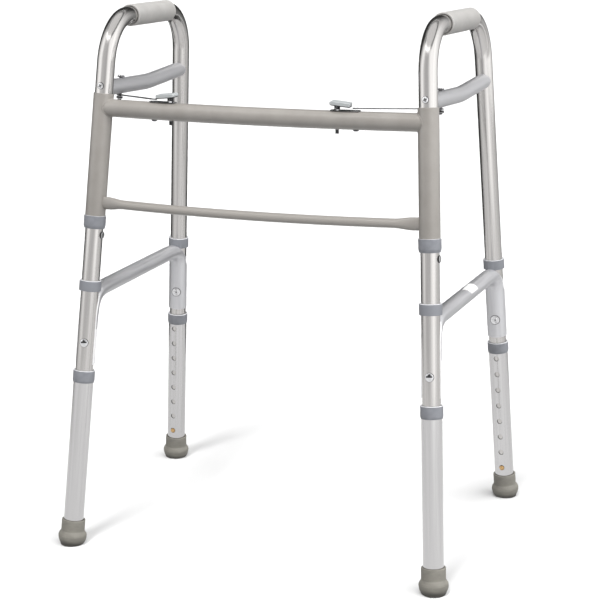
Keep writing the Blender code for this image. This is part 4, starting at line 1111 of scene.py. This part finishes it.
def buildBraceScrew(word, side):
    s = headSettings["screw"]
    route = upperBraceRoute(side)
    matrix = standMatrix(legPoint(side, "front", s["place"]), acrossWalker, route[0] - route[1])
    matrix = matrix @ Matrix.Translation((0, 0, tubeSizes["legRadius"]))
    height, radius, shank = s["height"], s["radius"], s["shank"]
    profile = softened([(0, height), (0.0026, height * 0.96), (0.0043, height * 0.62), (radius, 0.0008),
                        (radius, 0), (shank, 0), (shank, -s["reach"]), (0, -s["reach"])], 0.0005, 4)
    screw = turnedPiece(f"braceScrew_{word}", profile, Matrix.Identity(4), "zincSteel", sides=40)
    top, long, wide = Matrix.Translation((0, 0, height)), s["crossReach"], s["crossWidth"]
    recess = [boxMesh(top, (*size, s["crossDepth"] * 2)) for size in ((long, wide), (wide, long))]
    mesh = cutAway(screw, helperObject("recessCutter", *recess), crossing=True)
    mesh.transform(matrix @ Matrix.Rotation(math.radians(s["turn"]), 4, "Z"))
    smoothShade(mesh, 32)
    shadeHead(mesh, matrix, [(0.0042, 1)])
    local = matrix.inverted()

    # painted shade in the cross recess
    def isRecessed(face):
        spot = local @ face.center
        return 0 < spot.z < height * 0.75 and spot.xy.length < 0.0030

    shadeFaces(mesh, "darkSteel", isRecessed)
    setOnFrame(screw, f"side_{word}", "steel", f"brace_screw_{word}")


def buildBraceBolt(word, side):
    head, nut = headSettings["bolt"], headSettings["nut"]
    top = braceBoltMatrix(side, head["middle"] + head["top"])
    profile = softened([(0, head["height"] * 0.75), (0.0030, head["height"] * 0.8), (0.0034, head["height"]),
                        (0.0044, head["height"] * 0.9), (head["radius"], 0.0010), (head["radius"], -0.0006),
                        (0.0027, -0.0006), (0.0027, -0.0330), (0, -0.0335)], 0.0005, 4)
    bolt = turnedPiece(f"braceBolt_{word}", profile, top, "zincSteel", sides=40)
    darkWalls(bolt.data, top.col[2].xyz)
    setOnFrame(bolt, f"side_{word}", "steel", f"brace_bolt_{word}")
    place = braceBoltMatrix(side, latchSettings["stayOuter"] - 0.0016)
    radius, height = nut["radius"], nut["height"]
    profile = softened([(0.0028, 0), (0.0043, 0), (radius, -0.0006), (radius, 0.0006 - height),
                        (0.0043, -height), (0.0028, -height)], 0.0002, 2, closed=True)
    piece = turnedPiece(f"braceNut_{word}", profile, place, "zincSteel", closed=True, sides=6)
    darkWalls(piece.data, place.col[2].xyz)
    setOnFrame(piece, f"side_{word}", "steel", f"brace_nut_{word}")


# Telescoping feet

footSettings = {
    "low": 0.0080, "top": {"front": 0.2540, "rear": 0.2486},
    "collar": {"front": (0.2392, 0.2570), "rear": (0.2348, 0.2516)},
    "holes": 8, "pitch": 0.0254, "holeRadius": 0.0040, "lowestHole": 0.0500,
    "holeFacing": {"front": 90, "rear": -90},
    "buttonRadius": 0.0036, "buttonReach": 0.0166, "pressedShare": 0.85,
    "tipTop": 0.0360, "tipNeck": 0.0170, "tipBulge": 0.0206,
}


def buildExtension(label, side, leg, punch):
    s = footSettings
    length = legLength(leg, s["low"], s["top"][leg])
    matrix = legMatrix(side, leg, s["low"])
    tube = runTree(f"legExtension_{label}", holeTree, {
        "Punch": punch, "Length": length, "Radius": tubeSizes["sleeveRadius"],
        "Bore": tubeSizes["sleeveBore"], "Holes": s["holes"], "Pitch": s["pitch"],
        "First Hole": legLength(leg, s["low"], s["lowestHole"]), "Facing": s["holeFacing"][leg] / 90,
        "Sides": tubeSizes["sides"], "Finish": "anodisedAluminium",
    })
    tube.data.transform(matrix)
    grainOnAxis(tube.data, matrix)
    smoothShade(tube.data, 30)
    setOnFrame(tube, f"foot_{label}", "aluminium", f"leg_extension_{label}")


def buildExtensionCollar(label, side, leg):  # a ring over the tube's end with an inner lip above it
    low, high = footSettings["collar"][leg]
    height = legLength(leg, low, high)
    shoulder = legLength(leg, low, footSettings["top"][leg]) + 0.0002
    outer = tubeSizes["collarRadius"]
    sleeve, inner = tubeSizes["sleeveRadius"] + snugGap, tubeSizes["legRadius"] + looseGap
    profile = softened([
        (inner, height - 0.0012), (outer - 0.0014, height), (outer, height - 0.0008), (outer, 0.0030),
        (outer - 0.0006, 0.0), (sleeve, 0.0), (sleeve, shoulder), (inner, shoulder),
    ], 0.0006, 5, closed=True)
    matrix = legMatrix(side, leg, low)
    collar = turnedPiece(f"extensionCollar_{label}", profile, matrix, "slatePlastic", closed=True)
    paintRim(collar.data, matrix, height)
    setOnFrame(collar, f"foot_{label}", "collar", f"extension_collar_{label}")


def buildTip(label, side, leg):
    s = footSettings
    top = legLength(leg, 0, s["tipTop"])
    floor = legLength(leg, 0, s["low"]) - 0.0002
    bore, neck, bulge = tubeSizes["sleeveRadius"] + snugGap, s["tipNeck"], s["tipBulge"]
    profile = softened([
        (0, floor), (bore, floor), (bore, top), (neck, top), (neck, 0.0196), (neck + 0.0016, 0.0172),
        (bulge - 0.0006, 0.0150), (bulge, 0.0124), (bulge - 0.0004, 0.0084), (bulge - 0.0014, 0.0048),
        (bulge - 0.0030, 0.0018), (bulge - 0.0056, -0.006), (0, -0.006),
    ], 0.0009, 5)
    matrix = legMatrix(side, leg, 0)
    tip = turnedPiece(f"rubberTip_{label}", profile, matrix, "tipRubber")
    slab = boxMesh(Matrix.Translation(legPoint(side, leg, 0) - Vector((0, 0, 0.015))), (0.08, 0.08, 0.03))
    mesh = cutAway(tip, helperObject("floorSlab", slab))
    mesh.attributes.remove(mesh.attributes["grain"])
    storeGrain(mesh, [Vector(matrix.translation), legPoint(side, leg, 0.1)], acrossWalker)
    smoothShade(mesh, 34)
    setOnFrame(tip, f"foot_{label}", "rubber", f"rubber_tip_{label}")


def buildButton(label, side, leg):  # a brass button on a folded spring strip inside the tube
    s = footSettings
    place = facing(legMatrix(side, leg, s["lowestHole"]), s["holeFacing"][leg])
    reach, radius = s["buttonReach"], s["buttonRadius"]
    profile = domeProfile(radius, reach, reach - 0.0018, 0.0094, 8)
    button = turnedPiece(f"snapButton_{label}", profile, place, "buttonBrass", sides=32)
    addMesh(button.data, springStrip(place))
    setOnFrame(button, f"button_{label}", "brass", f"snap_button_{label}")
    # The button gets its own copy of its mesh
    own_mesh(button)


def springStrip(place):
    leaf, thickness, tall, half = 0.0098, 0.0008, 0.030, 0.0035
    inner = leaf - thickness
    bend = [math.pi / 2 + math.pi * i / 12 for i in range(13)]
    outline = [(0.006, leaf), (0.006, inner)]
    outline += [(-tall + inner * math.cos(a), inner * math.sin(a)) for a in bend]
    outline += [(-0.004, -inner), (-0.004, -leaf)]
    outline += [(-tall + leaf * math.cos(a), leaf * math.sin(a)) for a in reversed(bend)]
    return extrudedMesh("springStrip", outline, half, place @ Matrix.Rotation(math.pi / 2, 4, "X"))


def extrudedMesh(name, outline, half, matrix, rim=0.0):  # a flat outline given a thickness, with broken edges
    shape = bmesh.new()
    levels = [(-half, 0.0), (half, 0.0)]
    if rim:
        levels = [(-half, rim), (rim - half, 0.0), (half - rim, 0.0), (half, rim)]
    rings = [[shape.verts.new((*point, height)) for point in insetOutline(outline, inset)]
             for height, inset in levels]
    count = len(outline)
    for low, high in zip(rings, rings[1:]):
        for k in range(count):
            n = (k + 1) % count
            shape.faces.new((low[k], low[n], high[n], high[k]))
    shape.faces.new(rings[0][::-1])
    shape.faces.new(rings[-1])
    mesh = finishedMesh(name, shape)
    mesh.transform(matrix)
    grainOnAxis(mesh, matrix)
    return mesh


def insetOutline(outline, inset):
    if not inset:
        return outline
    points = [Vector(point) for point in outline]
    area = sum(a.x * b.y - a.y * b.x for a, b in zip(points, points[1:] + points[:1]))
    made = []
    for i, point in enumerate(points):
        edge = points[(i + 1) % len(points)] - points[i - 1]
        normal = Vector((-edge.y, edge.x)).normalized() * (1 if area > 0 else -1)
        made.append(tuple(point + normal * inset))
    return made


# Fold latches

latchSettings = {
    "knob": {"left": 0.083, "right": 0.097}, "pinStep": 0.0258, "boltOffset": 0.055,
    "stayOuter": 0.6404, "stayInner": 0.6465, "stayWidth": 0.0090, "stayThickness": 0.0016,
    "stayHole": 0.0030,
    "plateThickness": 0.0010, "pivotHeight": 0.6527, "tilt": 6, "paddleHalf": 0.0029, "paddleWall": 0.0016,
    "paddleWidth": 0.0160, "outerReach": 0.0190, "innerReach": 0.0090, "pivotRadius": 0.0014,
    "rivetRadius": 0.0024, "pinRadius": 0.0024, "paintedShadowLip": 0.0013,
}


def crossbarPoint(side, offset, height):
    hinge = legPoint(side, "front", frontSettings["barHeight"])
    share = offset / (2 * abs(hinge.x))
    along = hinge.y - frontSettings["barBow"] * 4 * share * (1 - share)
    return Vector((hinge.x - side * offset, along, height))


def crossbarMatrix(side, offset, height):  # local X inward along the bar, local Z up
    inward = crossbarPoint(side, offset + 0.001, height) - crossbarPoint(side, offset, height)
    return standMatrix(crossbarPoint(side, offset, height), inward, upward)


def stadium(start, end, halfWidth, steps=10):
    turn = [-math.pi / 2 + math.pi * i / steps for i in range(steps + 1)]
    right = [(end + halfWidth * math.cos(a), halfWidth * math.sin(a)) for a in turn]
    return right + [(start - halfWidth * math.cos(a), -halfWidth * math.sin(a)) for a in turn]


def buildPlate(word, side):
    s = latchSettings
    top = frontSettings["barHeight"] + frontSettings["barRadius"] + 0.0001
    place = crossbarMatrix(side, s["knob"][word], top + s["plateThickness"] / 2)
    outline = stadium(-0.001, s["pinStep"] + 0.004, 0.0055)
    mesh = extrudedMesh(f"latchPlate_{word}", outline, s["plateThickness"] / 2, place, 0.0002)
    smoothShade(mesh, 30)
    plate = newObject(f"latchPlate_{word}", mesh, "zincSteel")
    darkWalls(mesh, upward)
    setOnFrame(plate, "front_frame", "steel", f"latch_plate_{word}")


def buildLatchRivet(word, side):
    s = latchSettings
    low = frontSettings["barHeight"] - frontSettings["barRadius"]
    high = frontSettings["barHeight"] + frontSettings["barRadius"] + s["plateThickness"] + 0.0004
    radius = s["rivetRadius"]
    profile = softened([(0, high - low), (radius, high - low), (radius, 0.0002), (0.0039, 0.0002),
                        (0.0037, -0.0012), (0.0022, -0.0024), (0, -0.0026)], 0.0004, 4)
    rivet = turnedPiece(f"latchRivet_{word}", profile, crossbarMatrix(side, s["knob"][word], low),
                        "zincSteel", sides=32)
    darkWalls(rivet.data, upward)
    setOnFrame(rivet, "front_frame", "steel", f"latch_rivet_{word}")


def buildLatchPin(word, side):
    s = latchSettings
    place = crossbarMatrix(side, s["knob"][word] + s["pinStep"], s["pivotHeight"])
    low = frontSettings["barHeight"] - frontSettings["barRadius"] - 0.0060 - s["pivotHeight"]
    under = frontSettings["barHeight"] - frontSettings["barRadius"]
    profile = softened([(0, 0.0002), (s["pinRadius"], 0.0002), (s["pinRadius"], under - s["pivotHeight"]),
                        (s["pinRadius"], low), (0, low)], 0.0003, 3)
    pin = turnedPiece(f"latchPin_{word}", profile, place, "zincSteel", sides=32)
    slit = boxMesh(place @ Matrix.Translation((0, 0, low + 0.0022)), (0.0012, 0.01, 0.0060))
    cutAway(pin, helperObject("slit", slit))
    half = s["paddleWidth"] / 2 - 0.0002
    pivot = place @ Matrix.Rotation(math.pi / 2, 4, "X")
    addMesh(pin.data, rodMesh("pivotRod", s["pivotRadius"], -half, half, pivot))
    smoothShade(pin.data)
    # the pin is painted in shade below the crossbar
    shadeFaces(pin.data, "darkSteel", lambda face: face.center.z < under)
    setOnFrame(pin, "front_frame", "steel", f"latch_pin_{word}")
    buildPinSpring(word, place)


springSettings = {"turns": 4, "coilRadius": 0.0036, "wire": 0.0006, "low": 0.6448, "high": 0.6506}


def buildPinSpring(word, place):  # a short coil round the pin under the paddle
    s = springSettings
    points = []
    steps = s["turns"] * 20
    for i in range(steps + 1):
        a = 2 * math.pi * s["turns"] * i / steps
        height = s["low"] + (s["high"] - s["low"]) * i / steps - latchSettings["pivotHeight"]
        points.append(place @ Vector((s["coilRadius"] * math.cos(a), s["coilRadius"] * math.sin(a), height)))
    guide = guideCurve("springGuide", points)
    values = {"Route": guide, "Radius": s["wire"], "Finish": "darkPlastic"}
    coil = runTree(f"latchSpring_{word}", coilTree, values)
    dropObjects(guide)
    grainOnAxis(coil.data, place)
    smoothShade(coil.data, 50)
    setOnFrame(coil, "front_frame", "steel")


def buildPaddle(word, side):  # a hollow paddle with a rolled nose, with painted shade inside and a painted shadow along its lower lip
    s = latchSettings
    place = crossbarMatrix(side, s["knob"][word] + s["pinStep"], s["pivotHeight"])
    place = place @ Matrix.Rotation(-math.radians(s["tilt"]), 4, "Y")
    half, outer, width, wall = s["paddleHalf"], s["outerReach"], s["paddleWidth"], s["paddleWall"]
    centre = s["innerReach"] - half
    roll = [math.pi / 2 - math.pi * i / 12 for i in range(13)]
    outline = [(-outer, -half), (-outer, half - 0.0010), (-outer + 0.0004, half - 0.0004)]
    outline += [(-outer + 0.0014, half)] + [(centre + half * math.cos(a), half * math.sin(a)) for a in roll]
    upright = place @ Matrix.Rotation(math.pi / 2, 4, "X")
    mesh = extrudedMesh(f"latchPaddle_{word}", outline, width / 2, upright, 0.0006)
    paddle = newObject(f"latchPaddle_{word}", mesh, "palePlastic")
    size = (outer + centre - 2 * wall, width - 2 * wall, 2 * half)
    hollow = boxMesh(place @ Matrix.Translation(((centre - outer) / 2, 0, -wall)), size)
    mesh = cutAway(paddle, helperObject("paddleHollow", hollow))
    lip = -half + s["paintedShadowLip"]
    work = bmesh.new()
    work.from_mesh(mesh)
    bmesh.ops.bisect_plane(work, geom=work.verts[:] + work.edges[:] + work.faces[:], dist=1e-6,
                           plane_co=place @ Vector((0, 0, lip)), plane_no=place.col[2].xyz)
    work.to_mesh(mesh)
    work.free()
    local = place.inverted()

    # painted shade inside the hollow and a painted shadow along the lower lip
    def isDark(face):
        spot = local @ face.center
        within = abs(spot.y) < width / 2 - wall + 0.0001 and spot.z < half - wall + 0.0001
        within = within and abs(spot.x + (outer - centre) / 2) < size[0] / 2 + 0.0001
        return within or spot.z < lip

    shadeFaces(mesh, "darkPlastic", isDark)
    smoothShade(mesh, 34)
    setOnFrame(paddle, f"paddle_{word}", "paddle", f"latch_paddle_{word}")


def buildStay(word, side):
    s = latchSettings
    pivot = braceBoltMatrix(side, s["stayOuter"])
    outer = pivot.translation
    along = crossbarPoint(side, s["knob"][word], s["stayInner"]) - outer
    up = pivot.col[2].xyz
    place = standMatrix(outer, along, up - along * up.dot(along) / along.length_squared)
    outline = stadium(0, along.length, s["stayWidth"] / 2, 14)
    mesh = extrudedMesh(f"latchStay_{word}", outline, s["stayThickness"] / 2, place, 0.00025)
    stay = newObject(f"latchStay_{word}", mesh, "zincSteel")
    hole = helperObject("stayHole", rodMesh("stayRod", s["stayHole"], -0.01, 0.01, pivot))
    mesh = cutAway(stay, hole)
    darkWalls(mesh, place.col[2].xyz)
    profile = softened([(0, 0.0012), (0.0034, 0.0012), (0.0040, 0.0008), (0.0040, 0.0004), (0, 0.0004)],
                       0.0003, 3)
    addMesh(mesh, latheMesh("knob", profile, place @ Matrix.Translation((along.length, 0, 0)), sides=32))
    smoothShade(mesh, 30)
    setOnFrame(stay, f"stay_{word}", "steel", f"latch_stay_{word}")


holeRadius, chamferRadius = footSettings["holeRadius"], footSettings["holeRadius"] + 0.0004
punchProfile = [(0, 0.0), (holeRadius, 0.0), (holeRadius, 0.01385), (chamferRadius, 0.0144),
                (chamferRadius, 0.0200), (0, 0.0200)]
punch = helperObject("holePunch", latheMesh("punchShape", punchProfile, Matrix.Identity(4), sides=32))
heads = buildHeads()
for word, side in sideSigns.items():
    buildSideTube(word, side)
    buildGrip(word, side)
    buildUpperBrace(word, side)
    buildLowerBrace(word, side)
    for leg in legLines:
        buildBraceCollar(word, side, leg)
    buildFasteners(word, side, heads)
    print("side frame built:", word)
    buildPlate(word, side)
    buildLatchRivet(word, side)
    buildLatchPin(word, side)
    buildPaddle(word, side)
    buildStay(word, side)
    print("latch built:", word)
    for leg in legLines:
        label = f"{leg}_{word}"
        buildExtension(label, side, leg, punch)
        buildExtensionCollar(label, side, leg)
        buildTip(label, side, leg)
        buildButton(label, side, leg)
    print("feet built:", word)
buildLabel()
dropObjects(punch, *heads.values())


# Studio

studioSettings = {
    "floorReach": 60, "skyForDiffuse": 0.36, "floorForCamera": 0.73, "floorForDiffuse": 0.30,
    # Each lamp: strength, spread, the direction it comes from and its height, the last three in degrees
    "lamps": {"keyLight": (2.3, 15, 262, 62), "fillLight": (3.2, 80, -12, 45)},
    # Soft surroundings that only metal sees: brightness by direction, and strips as the Y of their middle,
    # then the distance and height of both rims
    "surroundings": {
        "high": {"levels": [
            (-172, 0.8), (-158, 1.5), (-145, 1.6), (-130, 1.4), (-117, 0.85), (-100, 0.75), (-85, 0.68),
            (-68, 0.68), (-54, 1.4), (-40, 1.75), (8, 1.8), (25, 1.5), (45, 1.1), (60, 0.7), (72, 0.3),
            (86, 0.05), (165, 0.05)],
            "strips": [(0, 1.7, 0.45, 1.7, 2.4)]},
        "middle": {"levels": [
            (-168, 0.6), (-155, 1.05), (-145, 1.2), (-136, 1.1), (-124, 0.82), (-104, 0.70), (-88, 0.74),
            (-76, 0.84), (-64, 1.08), (-52, 1.45), (-40, 1.68), (-28, 1.5), (-15, 1.12), (0, 0.9),
            (20, 0.85), (45, 0.65), (68, 0.4), (84, 0.05), (165, 0.05)],
            "strips": [(0, 1.1, 0.22, 1.1, 0.30), (0, 1.7, 0.12, 1.7, 0.45)]},
        "plain": {"levels": [
            (-172, 0.6), (-160, 0.88), (-130, 0.92), (-100, 0.94), (-70, 1.0), (-40, 1.08), (-20, 1.04),
            (10, 0.95), (30, 0.85), (50, 0.6), (68, 0.25), (82, 0.05), (160, 0.05)],
            "strips": [(0, 1.1, 0.0004, 1.1, 0.22)]},
        "ground": {"levels": [(-150, 0.92), (-70, 0.98), (-40, 1.04), (10, 0.95), (60, 0.85), (150, 0.85)],
                   "strips": [(0.2, 0.02, 0.0002, 1.3, 0.0002)]},
        "overhead": {"levels": [(-160, 0.2), (-145, 2.8), (-60, 2.8), (-45, 0.2), (150, 0.2)],
                     "strips": [(0, 1.6, 2.5, 1.6, 3.1)]},
    },
    # The dark floor behind the walker that the tubes' edges mirror, from one corner to the other
    "darkPatch": (-1.2, 0.75, 0.45, 1.7), "patchHeight": 0.0003, "patchGlow": 0.03,
    "floorHeight": -0.0004, "panelStep": 4,
}


def rayColour(tree, seen, unseen):  # seen by camera, mirror and glass rays; unseen by the rest
    paths = addNode(tree, "ShaderNodeLightPath")
    highest = paths.outputs["Is Camera Ray"]
    for name in ("Is Glossy Ray", "Is Transmission Ray"):
        top = addNode(tree, "ShaderNodeMath", operation="MAXIMUM")
        tree.links.new(highest, top.inputs[0])
        tree.links.new(paths.outputs[name], top.inputs[1])
        highest = top.outputs[0]
    return mixColours(tree, highest, (unseen,) * 3, (seen,) * 3)


def buildWorld():
    world = bpy.data.worlds.new("softStudio")
    bpy.context.scene.world = world
    world.use_nodes = True
    tree = world.node_tree
    colour = rayColour(tree, 1.0, studioSettings["skyForDiffuse"])
    tree.links.new(colour, tree.nodes["Background"].inputs["Color"])


def stageCard(name, mesh, kind):  # a staged mesh whose material is one shader
    paint = bpy.data.materials.new(name)
    paint.use_nodes = True
    tree = paint.node_tree
    tree.nodes.remove(tree.nodes["Principled BSDF"])
    shader = addNode(tree, kind)
    tree.links.new(shader.outputs[0], tree.nodes["Material Output"].inputs["Surface"])
    mesh.materials.append(paint)
    card = placeObject(name, mesh)
    return card, tree, shader


def buildFloor():
    s = studioSettings
    reach, height = s["floorReach"], s["floorHeight"]
    mesh = bpy.data.meshes.new("studioFloor")
    corners = [(x * reach, y * reach, height) for x, y in ((-1, -1), (1, -1), (1, 1), (-1, 1))]
    mesh.from_pydata(corners, [], [(0, 1, 2, 3)])
    tree, matte = stageCard("studioFloor", mesh, "ShaderNodeBsdfDiffuse")[1:]
    tree.links.new(rayColour(tree, s["floorForCamera"], s["floorForDiffuse"]), matte.inputs["Color"])


def glossyPanel(name, rims, brightness):  # a glowing strip that only metal sees, as bright as its rims say
    count = len(rims[0])
    mesh = bpy.data.meshes.new(name)
    faces = [(k, k + 1, count + k + 1, count + k) for k in range(count - 1)]
    mesh.from_pydata(rims[0] + rims[1], [], faces)
    layer = mesh.attributes.new("glow", "FLOAT", "POINT")
    layer.data.foreach_set("value", list(brightness) * 2)
    card, tree, glow = stageCard(name, mesh, "ShaderNodeEmission")
    glow.inputs["Color"].default_value = (1, 1, 1, 1)
    level = addNode(tree, "ShaderNodeAttribute", attribute_name="glow")
    tree.links.new(level.outputs["Fac"], glow.inputs["Strength"])
    card.visible_camera = card.visible_diffuse = card.visible_shadow = False
    card.visible_transmission = card.visible_volume_scatter = False


def arcPoints(turns, distance, height, middle=0.0):
    angles = [math.radians(a) for a in turns]
    return [(distance * math.cos(a), middle + distance * math.sin(a), height) for a in angles]


def buildSurroundings():
    s = studioSettings
    turns = list(range(-180, 181, s["panelStep"]))
    for name, panel in s["surroundings"].items():
        brightness = np.interp(turns, *zip(*panel["levels"]), period=360)
        for middle, near, low, far, high in panel["strips"]:
            rims = [arcPoints(turns, near, low, middle), arcPoints(turns, far, high, middle)]
            glossyPanel(name, rims, brightness)
    left, near, right, far = s["darkPatch"]
    rims = [[(left, y, s["patchHeight"]), (right, y, s["patchHeight"])] for y in (near, far)]
    glossyPanel("darkPatch", rims, [s["patchGlow"]] * 2)


def buildLamp(name, strength, spread, direction, height):
    light = bpy.data.lights.new(name, "SUN")
    light.energy, light.angle = strength, math.radians(spread)
    lamp = placeObject(name, light)
    angle, rise = math.radians(direction), math.radians(height)
    toLamp = Vector((math.cos(angle) * math.cos(rise), math.sin(angle) * math.cos(rise), math.sin(rise)))
    lamp.rotation_euler = toLamp.to_track_quat("Z", "Y").to_euler()
    lamp.visible_glossy = False


cameraSettings = {"place": (0.84863, -2.30784, 0.98848), "yaw": 0.3475, "pitch": -0.2578, "roll": -0.0078,
                  "lens": 104.175, "sensor": 36.0, "clip": (0.05, 300)}


def buildCamera():
    s = cameraSettings
    data = bpy.data.cameras.new("photoCamera")
    data.lens, data.sensor_width, data.sensor_fit = s["lens"], s["sensor"], "HORIZONTAL"
    data.clip_start, data.clip_end = s["clip"]
    camera = placeObject("photoCamera", data)
    yaw, pitch, roll = s["yaw"], s["pitch"], s["roll"]
    ahead = Vector((-math.sin(yaw) * math.cos(pitch), math.cos(yaw) * math.cos(pitch), math.sin(pitch)))
    level = Vector((math.cos(yaw), math.sin(yaw), 0))
    rise = level.cross(ahead)
    right = level * math.cos(roll) + rise * math.sin(roll)
    up = rise * math.cos(roll) - level * math.sin(roll)
    camera.matrix_world = Matrix((right, up, -ahead)).transposed().to_4x4()
    camera.location = s["place"]
    bpy.context.scene.camera = camera


buildWorld()
buildFloor()
buildSurroundings()
for name, lamp in studioSettings["lamps"].items():
    buildLamp(name, *lamp)
buildCamera()
bpy.context.scene.view_settings.view_transform = "Standard"
print("studio built")
